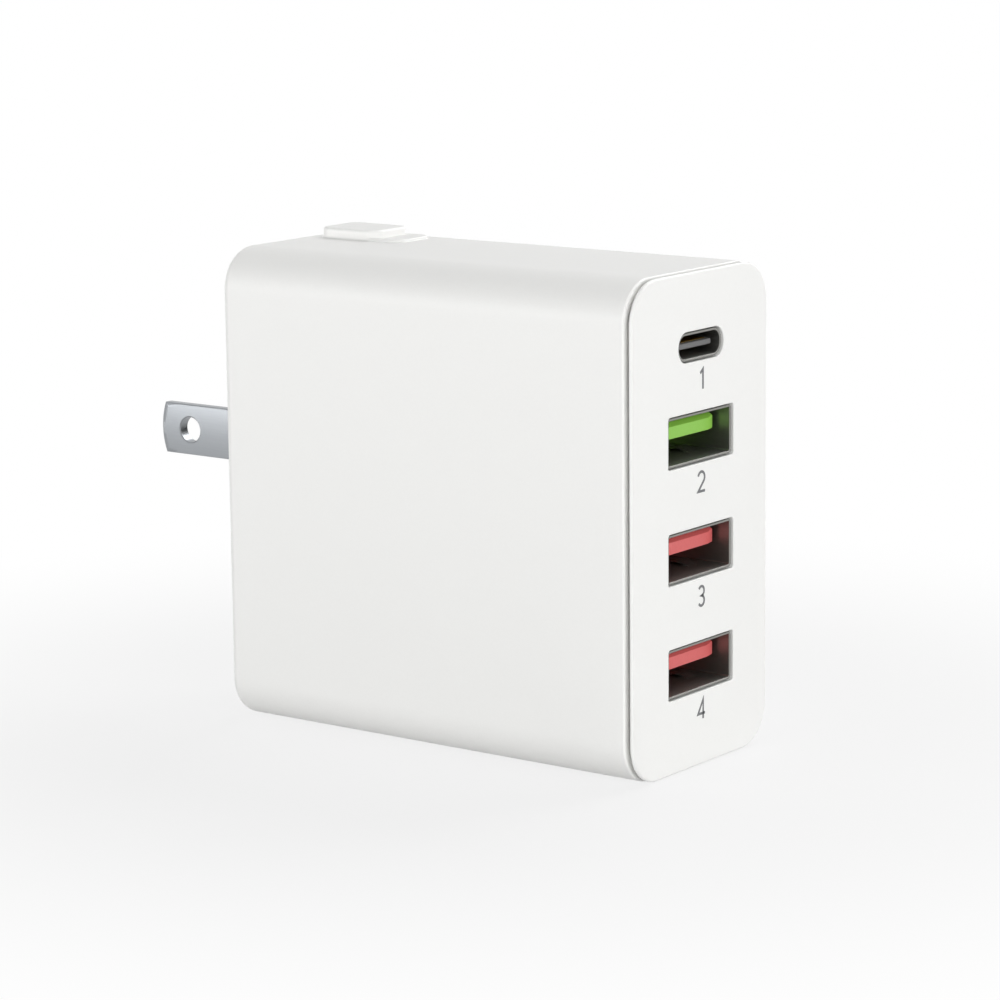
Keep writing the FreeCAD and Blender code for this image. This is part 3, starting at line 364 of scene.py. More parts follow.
@dataclass(frozen=True)
class Outline:
    """Rounded rectangle across an axis. Its lower corners may have a radius of their own."""

    left: float
    right: float
    low: float
    high: float
    radius: float
    low_radius: float | None = None

    def inset(self, amount: float) -> "Outline":
        """Same outline moved in by an amount, or out by a negative one.

        Args:
            amount: how far each side moves in. The corners' radii shrink by as much.

        Returns:
            The moved outline.
        """
        return replace(
            self,
            left=self.left + amount,
            right=self.right - amount,
            low=self.low + amount,
            high=self.high - amount,
            radius=max(self.radius - amount, 0.0),
            low_radius=None if self.low_radius is None else max(self.low_radius - amount, 0.0),
        )

    def loop(self, stops: tuple[float, ...] = ()) -> Points:
        """Points round the outline: a quarter circle at each corner, and stops on the two sides.

        Args:
            stops: rising heights that get a point on the right and the left side.

        Returns:
            Closed loop of points, counted anticlockwise from the right side.
        """
        top = self.radius
        base = top if self.low_radius is None else self.low_radius
        heights = np.array(stops)
        return np.concatenate([
            np.column_stack([np.full(len(stops), self.right), heights]),
            arc((self.right - top, self.high - top), top, 0, 90, CORNER_STEPS),
            arc((self.left + top, self.high - top), top, 90, 180, CORNER_STEPS),
            np.column_stack([np.full(len(stops), self.left), heights[::-1]]),
            arc((self.left + base, self.low + base), base, 180, 270, CORNER_STEPS),
            arc((self.right - base, self.low + base), base, 270, 360, CORNER_STEPS),
        ])


def unit(rows: Points) -> Points:
    """Rows scaled to a length of one."""
    return rows / np.linalg.norm(rows, axis=1, keepdims=True)


def rounded_path(corners: Points, radii: Points) -> Points:
    """Closed path with a quarter circle at each right-angled corner. A radius of zero keeps the corner.

    With u and w the directions to the corners before and after, the circle's centre is the corner plus the
    radius times u + w, and its points are that centre less the radius times w cos t + u sin t.

    Args:
        corners: corners in order.
        radii: radius at each corner.

    Returns:
        Closed loop with the same number of points for each corner.
    """
    before = unit(np.roll(corners, 1, axis=0) - corners)
    after = unit(np.roll(corners, -1, axis=0) - corners)
    turn = np.linspace(0.0, np.pi / 2, CORNER_STEPS + 1)[None, :, None]
    swing = after[:, None] * np.cos(turn) + before[:, None] * np.sin(turn)
    centres = corners + radii[:, None] * (before + after)
    return (centres[:, None] - radii[:, None, None] * swing).reshape(-1, 2)


def mitred_inset(loop: Points) -> Points:
    """Step inwards at each point of an anticlockwise loop that moves both of its edges in by one.

    The step is the sum of the two edges' inward normals over one plus their dot product.

    Args:
        loop: closed loop of points.

    Returns:
        One step for each point.
    """
    runs = unit(np.roll(loop, -1, axis=0) - loop)
    after = np.column_stack([-runs[:, 1], runs[:, 0]])
    before = np.roll(after, 1, axis=0)
    return (before + after) / (1.0 + np.sum(before * after, axis=1, keepdims=True))


def lift(loop: Points, axis: Axis, level: float) -> Points:
    """Stand a flat loop across an axis at a level along it."""
    return np.insert(loop, axis, level, axis=1)


def carried(outline: Outline, profile: Points, axis: Axis, stops: tuple[float, ...] = ()) -> Points:
    """Grid of points: the outline's loop, inset and lifted by each row of a profile of insets and levels."""
    return np.stack([lift(outline.inset(inset).loop(stops), axis, level) for inset, level in profile])


@dataclass(frozen=True)
class Surface:
    """A mesh as plain arrays: points, and faces as rows of point numbers."""

    points: Points
    faces: list[list[int]]

    @classmethod
    def loft(cls, loops: Points, ring: bool = False, caps: bool = False) -> "Surface":
        """Skin a grid of closed loops: each loop is joined to the next by a band of four-sided faces.

        Args:
            loops: grid of points, one closed loop in each row.
            ring: whether the last loop is joined to the first.
            caps: whether the first and last loops are filled with a flat face.

        Returns:
            The skinned surface.
        """
        rows, columns, _ = loops.shape
        index = np.arange(rows * columns).reshape(rows, columns)
        here = index if ring else index[:-1]
        above = np.roll(index, -1, axis=0) if ring else index[1:]
        quads = np.stack([here, np.roll(here, -1, axis=1), np.roll(above, -1, axis=1), above], axis=-1)
        faces = quads.reshape(-1, 4).tolist()
        if caps:
            faces += [index[0, ::-1].tolist(), index[-1].tolist()]
        return cls(loops.reshape(-1, 3), faces)

    @classmethod
    def joined(cls, parts: list["Surface"]) -> "Surface":
        """Put several surfaces into one, side by side in its arrays.

        Args:
            parts: surfaces to put together.

        Returns:
            One surface, in which each part's point numbers count on from the part before.
        """
        starts = np.cumsum([0] + [len(part.points) for part in parts]).tolist()
        faces = [
            [start + number for number in face] for start, part in zip(starts, parts) for face in part.faces
        ]
        return cls(np.concatenate([part.points for part in parts]), faces)


def solid(outline: Outline, profile: Points, axis: Axis = Axis.Y) -> Surface:
    """Closed body with flat ends: an outline carried along a profile of insets and levels."""
    return Surface.loft(carried(outline, profile, axis), caps=True)


def straight_bar(outline: Outline, start: float, stop: float) -> Surface:
    """Closed bar with rounded long edges: an outline carried along Y as it is."""
    return solid(outline, np.array([(0.0, start), (0.0, stop)]))


def show(name: str, data: bpy.types.ID) -> bpy.types.Object:
    """Make an object of a mesh, a lamp or a camera, and put it into the scene.

    Args:
        name: name of the object.
        data: what the object shows.

    Returns:
        The object, at the origin.
    """
    shown = bpy.data.objects.new(name, data)
    bpy.context.scene.collection.objects.link(shown)
    return shown


@dataclass(frozen=True)
class Piece:
    """How a new mesh belongs to the charger."""

    name: str
    finish: Material
    slot: str | None = None
    replaces: tuple[str, ...] = ()
    body: Body = Body.CHARGER
    bevel: float = 0.0

    def build(self, surface: Surface) -> None:
        """Make the mesh, close its seams, turn its faces outwards and hang it on its body.

        Args:
            surface: points in millimetres and faces.
        """
        mesh = bpy.data.meshes.new(self.name)
        mesh.from_pydata((surface.points * MM).tolist(), [], surface.faces)
        shape = bmesh.new()
        shape.from_mesh(mesh)
        bmesh.ops.remove_doubles(shape, verts=shape.verts, dist=MERGE_M)
        bmesh.ops.recalc_face_normals(shape, faces=shape.faces)
        shape.to_mesh(mesh)
        shape.free()
        self.hang(mesh)

    def hang(self, mesh: bpy.types.Mesh) -> None:
        """Give a mesh its finish, soft edges and even shading, and let it ride on its body.

        Args:
            mesh: finished mesh in metres.
        """
        mesh.materials.append(self.finish.value.material())
        mesh.polygons.foreach_set("use_smooth", np.ones(len(mesh.polygons), dtype=bool))
        mesh.set_sharp_from_angle(angle=math.radians(SHARP_DEG))
        shown = show(self.name, mesh)
        if self.bevel:
            soft = shown.modifiers.new("soft_edges", "BEVEL")
            soft.width = self.bevel * MM
            soft.segments = BEVEL_SEGMENTS
            soft.limit_method = "ANGLE"
            soft.angle_limit = math.radians(SHARP_DEG)
        even = shown.modifiers.new("even_shading", "WEIGHTED_NORMAL")
        even.keep_sharp = True
        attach(shown, self.body.value)
        if self.replaces:
            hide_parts(*self.replaces)
        LOG.info("%s: %d faces on %s", self.name, len(mesh.polygons), self.body.value)


@dataclass(frozen=True)
class Span:
    """Box of a CAD node at rest, in millimetres."""

    low: Points
    high: Points

    @classmethod
    def of(cls, node: str) -> "Span":
        """Read a node's corners from the frame."""
        low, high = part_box(node)
        return cls(np.array(low) / MM, np.array(high) / MM)

    @property
    def middle(self) -> Points:
        """Centre of the box."""
        return (self.low + self.high) / 2

    def outline(self, axis: Axis, radius: float) -> Outline:
        """Rounded outline of the box seen along an axis."""
        first, second = [across for across in Axis if across != axis]
        return Outline(self.low[first], self.high[first], self.low[second], self.high[second], radius)


# Case


@dataclass
class Housing:
    """White moulded case with its tab and the ribs that hold the main board."""

    rear_radius: float = 1.2
    rear_steps: int = 10
    wall: float = CASE_WALL
    rim_wall: float = 1.1
    rim_edge: float = 0.25
    window_edge: float = 0.2
    window_corner: float = 1.6
    fit_clearance: float = 0.1
    panel_inset: float = 0.1
    tab_offset: float = 5.0
    tab_width: float = 7.0
    tab_length: float = 9.0
    tab_height: float = 1.3
    tab_setback: float = 2.6
    tab_corner: float = 1.6
    tab_edge: float = 0.4
    tab_root: float = 0.3
    step_length: float = 3.4
    step_height: float = 0.35
    step_edge: float = 0.2
    rib_thickness: float = 1.1
    rib_gap: float = 0.15
    rib_grip: float = 1.5
    rib_start: float = 3.0
    rib_length: float = 14.0
    case: Outline = field(init=False)
    rim_y: float = field(init=False)
    rear_y: float = field(init=False)
    skirt_end_y: float = field(init=False)

    def __post_init__(self) -> None:
        """Read the case's outline and ends from the frame."""
        panel = Span.of("port_panel")
        self.case = panel.outline(Axis.Y, PANEL_CORNER).inset(-self.panel_inset)
        self.rim_y = Span.of("housing").low[Axis.Y]
        self.rear_y = Span.of("housing").high[Axis.Y]
        self.skirt_end_y = panel.high[Axis.Y]

    def shell(self) -> Surface:
        """Closed ring of case outlines.

        The profile runs round the front rim, along the outside, over the rear edge's quarter circle, across
        the rear face to the plug's window, through the rear wall and back along the inside.

        Returns:
            The case as one closed surface.
        """
        edge = self.rim_edge
        inner = self.rim_wall
        rebate_y = self.skirt_end_y + self.fit_clearance
        rear = self.rear_radius
        outside = np.concatenate([
            [(self.wall, rebate_y), (inner, rebate_y)],
            arc((inner - edge, self.rim_y + edge), edge, 0, -90, EDGE_STEPS),
            arc((edge, self.rim_y + edge), edge, -90, -180, EDGE_STEPS),
            arc((rear, self.rear_y - rear), rear, 180, 90, self.rear_steps),
        ])
        bay = Span.of("plug_bay").outline(Axis.Y, self.window_corner)
        window = replace(bay, low=bay.low + BAY_FLANGE, high=bay.high - BAY_FLANGE)
        window = window.inset(-self.fit_clearance)
        lip = self.window_edge
        through = np.concatenate([
            arc((-lip, self.rear_y - lip), lip, 90, 0, EDGE_STEPS),
            [(0.0, self.rear_y - self.wall)],
        ])
        inside = np.array([(self.wall, self.rear_y - self.wall)])
        loops = [
            carried(self.case, outside, Axis.Y),
            carried(window, through, Axis.Y),
            carried(self.case, inside, Axis.Y),
        ]
        return Surface.loft(np.concatenate(loops), ring=True)

    def tab(self) -> Surface:
        """Raised tab with a low step before it: rounded plans carried up, with a flared root and a soft rim.

        Returns:
            Two closed surfaces that stand in the roof.
        """
        roof = self.case.high
        left = self.tab_offset - self.tab_width / 2
        back = self.rear_y - self.tab_setback
        plan = Outline(left, left + self.tab_width, back - self.tab_length, back, self.tab_corner)
        low_plan = replace(plan, low=plan.low - self.step_length, high=plan.high - self.step_length)
        parts = []
        for outline, height, rim in (
            (plan, self.tab_height, self.tab_edge),
            (low_plan, self.step_height, self.step_edge),
        ):
            root = min(self.tab_root, height - rim)
            profile = np.concatenate([
                [(-root, roof - root)],
                arc((-root, roof + root), root, -90, 0, EDGE_STEPS),
                arc((rim, roof + height - rim), rim, 180, 90, EDGE_STEPS),
            ])
            parts.append(solid(outline, profile, Axis.Z))
        return Surface.joined(parts)

    def ribs(self) -> Surface:
        """Four rounded ribs along Y, two at the floor and two under the roof.

        Returns:
            Four closed bars that stand in the case's walls.
        """
        board = Span.of("main_board")
        start = Span.of("port_board").high[Axis.Y] + self.rib_start
        face = board.low[Axis.X] - self.rib_gap
        back = board.high[Axis.X] + self.rib_gap
        floor = self.case.low + self.wall / 2
        roof = self.case.high - self.wall / 2
        parts = []
        for left, right in ((face - self.rib_thickness, face), (back, back + self.rib_thickness)):
            for low, high in (
                (floor, board.low[Axis.Z] + self.rib_grip),
                (board.high[Axis.Z] - self.rib_grip, roof),
            ):
                outline = Outline(left, right, low, high, self.rib_gap)
                parts.append(straight_bar(outline, start, start + self.rib_length))
        return Surface.joined(parts)

    def build(self) -> None:
        """Make the case's piece."""
        piece = Piece("case", Material.CASE, "white_case_plastic", ("housing",))
        piece.build(Surface.joined([self.shell(), self.tab(), self.ribs()]))


@dataclass
class PortPanel:
    """White cap with the four port openings."""

    edge: float = 0.3
    flange: float = 0.5
    flange_edge: float = 0.12
    neck_inset: float = 1.1
    skirt_wall: float = 1.1
    plate: float = 2.0
    opening_gap: float = 0.15
    opening_edge: float = 0.12
    usb_a_corner: float = 0.4
    usb_c_corner: float = 1.7
    outline: Outline = field(init=False)
    front_y: float = field(init=False)
    back_y: float = field(init=False)
    openings: list[Outline] = field(init=False)

    def __post_init__(self) -> None:
        """Read the panel's outline, and its openings from the sockets in them, lowest first."""
        panel = Span.of("port_panel")
        self.outline = panel.outline(Axis.Y, PANEL_CORNER)
        self.front_y = panel.low[Axis.Y]
        self.back_y = panel.high[Axis.Y]
        sockets = [(f"usb_a_shell_{number}", self.usb_a_corner) for number in (3, 2, 1)]
        sockets.append(("usb_c_shell", self.usb_c_corner))
        self.openings = [
            replace(Span.of(node).outline(Axis.Y, corner).inset(-self.opening_gap), radius=corner)
            for node, corner in sockets
        ]

    def borders(self) -> list[float]:
        """Heights half way between neighbouring openings, from the lowest up."""
        return [(lower.high + upper.low) / 2 for lower, upper in zip(self.openings, self.openings[1:])]

    def bands(self, outline: Outline) -> list[Outline]:
        """Cut an outline into one band for each opening.

        Args:
            outline: rounded outline of the whole plate.

        Returns:
            Bands from the lowest up, with round corners only at the plate's own ends.
        """
        heights = [outline.low, *self.borders(), outline.high]
        bands = [
            replace(outline, low=low, high=high, radius=0.0, low_radius=0.0)
            for low, high in zip(heights, heights[1:])
        ]
        bands[0] = replace(bands[0], low_radius=outline.radius)
        bands[-1] = replace(bands[-1], radius=outline.radius)
        return bands

    def plate_bands(self) -> list[Surface]:
        """Front plate round each opening.

        Each band's outline is joined to its opening, whose edge is a quarter circle, then through the plate
        and out again to the same band of the plate's back.

        Returns:
            One open surface for each opening, which meet along their borders.
        """
        front = self.bands(self.outline.inset(self.edge))
        back = self.bands(self.outline.inset(self.neck_inset + self.skirt_wall))
        edge = self.opening_edge
        plate_y = self.front_y + self.plate
        through = np.concatenate([
            arc((-edge, self.front_y + edge), edge, -90, 0, EDGE_STEPS),
            [(0.0, plate_y)],
        ])
        surfaces = []
        for face, opening, rear in zip(front, self.openings, back):
            loops = [
                lift(face.loop(), Axis.Y, self.front_y)[None],
                carried(opening, through, Axis.Y),
                lift(rear.loop(), Axis.Y, plate_y)[None],
            ]
            surfaces.append(Surface.loft(np.concatenate(loops)))
        return surfaces

    def rim(self) -> Surface:
        """Edge of the plate, seam groove and skirt, as outlines carried along one profile.

        Returns:
            Open surface from the front plate's edge round to the plate's back.
        """
        inner = self.neck_inset + self.skirt_wall
        flange_y = self.front_y + self.flange
        soft = self.flange_edge
        profile = np.concatenate([
            arc((self.edge, self.front_y + self.edge), self.edge, -90, -180, EDGE_STEPS),
            arc((soft, flange_y - soft), soft, 180, 90, EDGE_STEPS),
            [
                (self.neck_inset, flange_y),
                (self.neck_inset, self.back_y),
                (inner, self.back_y),
                (inner, self.front_y + self.plate),
            ],
        ])
        return Surface.loft(carried(self.outline, profile, Axis.Y, tuple(self.borders())))

    def build(self) -> None:
        """Make the panel's piece."""
        piece = Piece("port_cap", Material.CASE, "white_case_plastic", ("port_panel",))
        piece.build(Surface.joined([self.rim(), *self.plate_bands()]))


@dataclass
class PortNumbers:
    """Plain numbers printed under the ports, as flat strokes of ink."""

    height: float = 2.3
    stroke: float = 0.3
    mitre_limit: float = 0.35
    thickness: float = 0.03
    drop: float = 1.0
    arc_steps: int = 15

    def lines(self) -> dict[str, Points]:
        """Centre line of each number in a box one high, made of straight runs and arcs.

        Returns:
            Number to the points of its line.
        """
        return {
            "1": np.array([(0.1, 0.8), (0.34, 1.0), (0.34, 0.0)]),
            "2": np.concatenate([
                arc((0.3, 0.7), 0.29, 165, -38, self.arc_steps),
                [(0.02, 0.0), (0.62, 0.0)],
            ]),
            "3": np.concatenate([
                arc((0.29, 0.755), 0.245, 150, -90, self.arc_steps),
                arc((0.29, 0.255), 0.255, 90, -150, self.arc_steps)[1:],
            ]),
            "4": np.array([(0.62, 0.28), (0.0, 0.28), (0.46, 1.0), (0.46, 0.0)]),
        }

    def ribbon(self, line: Points, y: float) -> Surface:
        """Carry a flat rectangle along a line: half the stroke each way along the mitre of its two runs.

        Args:
            line: centre line as x and z.
            y: level of the panel's face.

        Returns:
            Closed ribbon of ink.
        """
        runs = unit(np.diff(line, axis=0))
        before = np.concatenate([runs[:1], runs])
        after = np.concatenate([runs, runs[-1:]])
        mitre = unit(before + after)
        across = np.column_stack([-mitre[:, 1], mitre[:, 0]])
        reach = 1.0 / np.clip(np.sum(mitre * after, axis=1), self.mitre_limit, None)
        side = across * (reach * self.stroke / 2)[:, None]
        top = y - self.thickness
        loops = np.stack([
            lift(line + side, Axis.Y, y),
            lift(line + side, Axis.Y, top),
            lift(line - side, Axis.Y, top),
            lift(line - side, Axis.Y, y),
        ], axis=1)
        return Surface.loft(loops, caps=True)

    def build(self, panel: PortPanel) -> None:
        """Print one number under each opening, counted from the top.

        Args:
            panel: panel that carries the numbers.
        """
        for (number, shape), opening in zip(self.lines().items(), reversed(panel.openings)):
            line = shape * self.height
            width = line[:, 0].max() + line[:, 0].min()
            corner = np.array([-width / 2, opening.low - self.drop - self.height])
            piece = Piece(f"port_number_{number}", Material.INK)
            piece.build(self.ribbon(line + corner, panel.front_y))


# Sockets


def folded_sleeve(box: Span, radius: float) -> Surface:
    """Sheet sleeve as a ring: out along the outside, round the rolled mouth and back along the inside.

    Args:
        box: box of the sleeve's CAD node.
        radius: outer radius of its corners.

    Returns:
        Closed surface of the sleeve.
    """
    mouth = box.low[Axis.Y] + SOCKET_EDGE
    back = box.high[Axis.Y]
    profile = np.concatenate([
        [(0.0, back)],
        arc((SOCKET_EDGE, mouth), SOCKET_EDGE, 180, 270, EDGE_STEPS),
        arc((SOCKET_SHEET - SOCKET_EDGE, mouth), SOCKET_EDGE, -90, 0, EDGE_STEPS),
        [(SOCKET_SHEET, back)],
    ])
    return Surface.loft(carried(box.outline(Axis.Y, radius), profile, Axis.Y), ring=True)


@dataclass
class UsbASocket:
    """One USB-A socket: folded shell with two grip springs, and the tongue on its block."""

    number: int
    finish: Material
    slot: str
    shell_corner: float = 0.5
    spring_offset: float = 3.6
    spring_setback: float = 5.0
    spring_width: float = 2.2
    spring_length: float = 4.6
    spring_height: float = 0.6
    spring_sheet: float = 0.2
    spring_taper: float = 0.3
    spring_points: int = 30
    tongue_corner: float = 0.15
    end_bevel: float = 1.2
    end_depth: float = 0.28
    top_bevel: float = 0.45
    top_depth: float = 0.7
    block_corner: float = 0.2
    block_edge: float = 0.1
    tongue_bevel: float = 0.06
    tongue_gap: float = 0.7
    tongue_thickness: float = 1.84
    tongue_width: float = 11.1
    tongue_root: float = 10.0
    shell_node: str = field(init=False)
    block_node: str = field(init=False)
    shell_box: Span = field(init=False)
    block_box: Span = field(init=False)

    def __post_init__(self) -> None:
        """Read the shell's and the insulator's boxes from the frame."""
        self.shell_node = f"usb_a_shell_{self.number}"
        self.block_node = f"usb_a_insulator_{self.number}"
        self.shell_box = Span.of(self.shell_node)
        self.block_box = Span.of(self.block_node)

    def springs(self) -> Surface:
        """Two leaf springs that rise from the floor: height times a squared sine along their length.

        Returns:
            Two closed leaves whose ends lie in the shell's floor.
        """
        along = np.linspace(0.0, 1.0, self.spring_points)
        rise = self.spring_height * np.sin(np.pi * along) ** 2
        top = self.shell_box.low[Axis.Z] + SOCKET_SHEET - self.spring_sheet / 2 + rise
        start = self.shell_box.low[Axis.Y] + self.spring_setback - self.spring_length / 2
        y = start + self.spring_length * along
        half = self.spring_width / 2 * (1 - self.spring_taper * np.abs(2 * along - 1))
        parts = []
        for middle in (-self.spring_offset, self.spring_offset):
            loops = np.stack([
                np.column_stack([middle - half, y, top]),
                np.column_stack([middle + half, y, top]),
                np.column_stack([middle + half, y, top - self.spring_sheet]),
                np.column_stack([middle - half, y, top - self.spring_sheet]),
            ], axis=1)
            parts.append(Surface.loft(loops, caps=True))
        return Surface.joined(parts)

    def insulator(self) -> Surface:
        """Block at the back and the tongue, whose nose is bevelled at its top and its ends.

        Returns:
            Two closed surfaces that run into each other.
        """
        box = self.block_box
        root = self.shell_box.low[Axis.Y] + self.tongue_root
        edge = self.block_edge
        block_profile = np.array([(edge, root), (0.0, root + edge), (0.0, box.high[Axis.Y])])
        block = solid(box.outline(Axis.Y, self.block_corner), block_profile)
        top = self.shell_box.high[Axis.Z] - SOCKET_SHEET - self.tongue_gap
        half = self.tongue_width / 2
        full = Outline(-half, half, top - self.tongue_thickness, top, self.tongue_corner)
        drop = self.top_bevel * (1 - self.end_depth / self.top_depth)
        wide = replace(full, high=full.high - drop)
        nose = replace(
            full,
            left=full.left + self.end_bevel,
            right=full.right - self.end_bevel,
            high=full.high - self.top_bevel,
        )
        nose_y = box.low[Axis.Y]
        loops = [
            lift(nose.loop(), Axis.Y, nose_y),
            lift(wide.loop(), Axis.Y, nose_y + self.end_depth),
            lift(full.loop(), Axis.Y, nose_y + self.top_depth),
            lift(full.loop(), Axis.Y, root + self.top_depth),
        ]
        return Surface.joined([block, Surface.loft(np.stack(loops), caps=True)])

    def build(self) -> None:
        """Make the socket's pieces."""
        shell_name = f"usb_a_sleeve_{self.number}"
        shell = Piece(shell_name, Material.SOCKET, "socket_steel", (self.shell_node,))
        shell.build(Surface.joined([folded_sleeve(self.shell_box, self.shell_corner), self.springs()]))
        tongue_name = f"usb_a_tongue_{self.number}"
        tongue = Piece(tongue_name, self.finish, self.slot, (self.block_node,), bevel=self.tongue_bevel)
        tongue.build(self.insulator())


@dataclass
class UsbCSocket:
    """USB-C socket: drawn pill-shaped shell, and the thin tongue on its block."""

    shell_radius: float = 1.55
    tongue_width: float = 6.69
    tongue_thickness: float = 0.7
    tongue_length: float = 5.2
    tongue_corner: float = 0.2
    nose_edge: float = 0.2
    block_inset: float = 0.4

    def insulator(self, shell_box: Span) -> Surface:
        """Tongue with a rounded nose and the block behind it, as outlines carried along Y.

        Args:
            shell_box: box of the shell's CAD node.

        Returns:
            Two closed surfaces that run into each other.
        """
        nose_y = Span.of("usb_c_insulator").low[Axis.Y]
        root_y = nose_y + self.tongue_length
        middle = shell_box.middle[Axis.Z]
        outline = Outline(
            -self.tongue_width / 2,
            self.tongue_width / 2,
            middle - self.tongue_thickness / 2,
            middle + self.tongue_thickness / 2,
            self.tongue_corner,
        )
        nose = self.nose_edge
        profile = np.concatenate([
            arc((nose, nose_y + nose), nose, 270, 180, EDGE_STEPS),
            [(0.0, root_y + SOCKET_SHEET)],
        ])
        section = shell_box.outline(Axis.Y, self.shell_radius).inset(self.block_inset)
        block = straight_bar(section, root_y, shell_box.high[Axis.Y])
        return Surface.joined([solid(outline, profile), block])

    def build(self) -> None:
        """Make the socket's pieces."""
        box = Span.of("usb_c_shell")
        shell = Piece("usb_c_sleeve", Material.SOCKET, "socket_steel", ("usb_c_shell",))
        shell.build(folded_sleeve(box, self.shell_radius))
        tongue = Piece("usb_c_tongue", Material.GREY, "grey_tongue_plastic", ("usb_c_insulator",))
        tongue.build(self.insulator(box))


# Plug


@dataclass
class FoldingPlug:
    """Two stamped blades and the barrel that they are moulded into."""

    blade_width: float = 6.35
    blade_thickness: float = 1.5
    shank_width: float = SHANK_WIDTH
    shoulder: float = 2.2
    tail_radius: float = 4.4
    tip_radius: float = 8.6
    hole_radius: float = 1.6
    hole_from_tip: float = 4.7
    coin: float = 0.14
    tip_coin: float = 0.4
    tip_coin_length: float = 3.0
    crown: float = 0.12
    crown_steps: int = 8
    barrel_edge: float = 0.3
    journal_edge: float = 0.2
    journal_radius: float = 1.8
    journal_length: float = 1.45
    barrel_radius: float = BARREL_RADIUS
    round_steps: int = 72
    tip_steps: int = 20
    tail_steps: int = 10
    edge_points: int = 40

    def blade_outline(self, pivot: Points, tip: float) -> Points:
        """Side outline of a blade: tail arc round the pivot, shank, shoulders, long edges and the tip's arc.

        Args:
            pivot: y and z of the plug's axis.
            tip: reach of the tip from the pivot.

        Returns:
            Closed loop of y and z.
        """
        half = self.blade_width / 2
        neck = self.shank_width / 2
        tail = math.degrees(math.asin(neck / self.tail_radius))
        nose = math.degrees(math.asin(half / self.tip_radius))
        tip_arc = arc((tip - self.tip_radius, 0.0), self.tip_radius, -nose, nose, self.tip_steps)
        tail_arc = arc((0.0, 0.0), self.tail_radius, 180 - tail, 180 + tail, self.tail_steps)
        share = np.linspace(0.0, 1.0, self.edge_points)[1:-1, None]
        shoulders = np.array([(self.shoulder, half), (self.shoulder, neck)])
        mirrored = shoulders[::-1] * [1, -1]
        upper = tip_arc[-1] + share * (shoulders[0] - tip_arc[-1])
        lower = mirrored[-1] + share * (tip_arc[0] - mirrored[-1])
        loop = np.concatenate([tip_arc, upper, shoulders, tail_arc, mirrored, lower])
        return loop + pivot

    def blade(self, middle: float, pivot: Points, tip: float) -> Surface:
        """Blade as a ring of loops: hole, crowned face, coined edge, far face and back through the hole.

        Each point of the hole lies on the ray from the hole's centre to a point of the outline. The coined
        edge is the outline moved in along its mitres, further near the tip. The faces fall away with the
        square of the distance from the blade's middle line.

        Args:
            middle: x of the blade's middle plane.
            pivot: y and z of the plug's axis.
            tip: reach of the tip from the pivot.

        Returns:
            Closed surface of the blade.
        """
        outline = self.blade_outline(pivot, tip)
        centre = pivot + np.array([tip - self.hole_from_tip, 0.0])
        rays = unit(outline - centre)
        hole = centre + self.hole_radius * rays
        wide_hole = centre + (self.hole_radius + self.coin) * rays
        near_tip = np.clip((outline[:, 0] - pivot[0] - tip) / self.tip_coin_length + 1.0, 0.0, 1.0)
        depth = self.coin + (self.tip_coin - self.coin) * near_tip ** 2 * (3 - 2 * near_tip)
        coined = outline + mitred_inset(outline) * depth[:, None]
        share = np.linspace(0.0, 1.0, self.crown_steps)[:, None, None]
        face = wide_hole + share * (coined - wide_hole)
        hollow = self.crown * ((face[..., 1] - pivot[1]) / (self.blade_width / 2)) ** 2
        half = self.blade_thickness / 2
        drop = half - self.crown - self.coin
        loops = np.concatenate([
            lift(hole, Axis.X, self.coin - half)[None],
            np.concatenate([(hollow - half)[..., None], face], axis=-1),
            lift(outline, Axis.X, -drop)[None],
        ])
        loops = np.concatenate([loops, loops[::-1] * [-1, 1, 1]])
        return Surface.loft(loops + np.array([middle, 0.0, 0.0]), ring=True)

    def barrel(self, box: Span, pivot: Points) -> Surface:
        """Barrel with its two journals: circles about the pivot carried along a radius profile.

        Args:
            box: box of the barrel's CAD node.
            pivot: y and z of the plug's axis.

        Returns:
            Closed surface of revolution.
        """
        soft = self.barrel_edge
        fine = self.journal_edge
        start = box.low[Axis.X]
        body = start + self.journal_length
        half = np.concatenate([
            [(self.journal_radius - fine, start), (self.journal_radius, start + fine)],
            [(self.journal_radius, body), (self.barrel_radius - soft, body)],
            arc((self.barrel_radius - soft, body + soft), soft, -90, 0, EDGE_STEPS),
        ])
        profile = np.concatenate([half, half[::-1] * [1, -1]])
        angles = np.linspace(0.0, 2 * np.pi, self.round_steps, endpoint=False)
        circle = np.column_stack([np.cos(angles), np.sin(angles)])
        loops = [lift(pivot + radius * circle, Axis.X, x) for radius, x in profile]
        return Surface.loft(np.stack(loops), caps=True)

    def build(self) -> None:
        """Make the blades and the barrel."""
        barrel_box = Span.of("plug_barrel")
        pivot = barrel_box.middle[Axis.Y:]
        for side in ("live", "neutral"):
            node = f"plug_blade_{side}"
            box = Span.of(node)
            piece = Piece(f"blade_{side}", Material.BLADE, "blade_metal", (node,), Body.PLUG)
            piece.build(self.blade(box.middle[Axis.X], pivot, box.high[Axis.Y] - pivot[0]))
        piece = Piece("barrel", Material.TUB, "white_inner_plastic", ("plug_barrel",), Body.PLUG)
        piece.build(self.barrel(barrel_box, pivot))


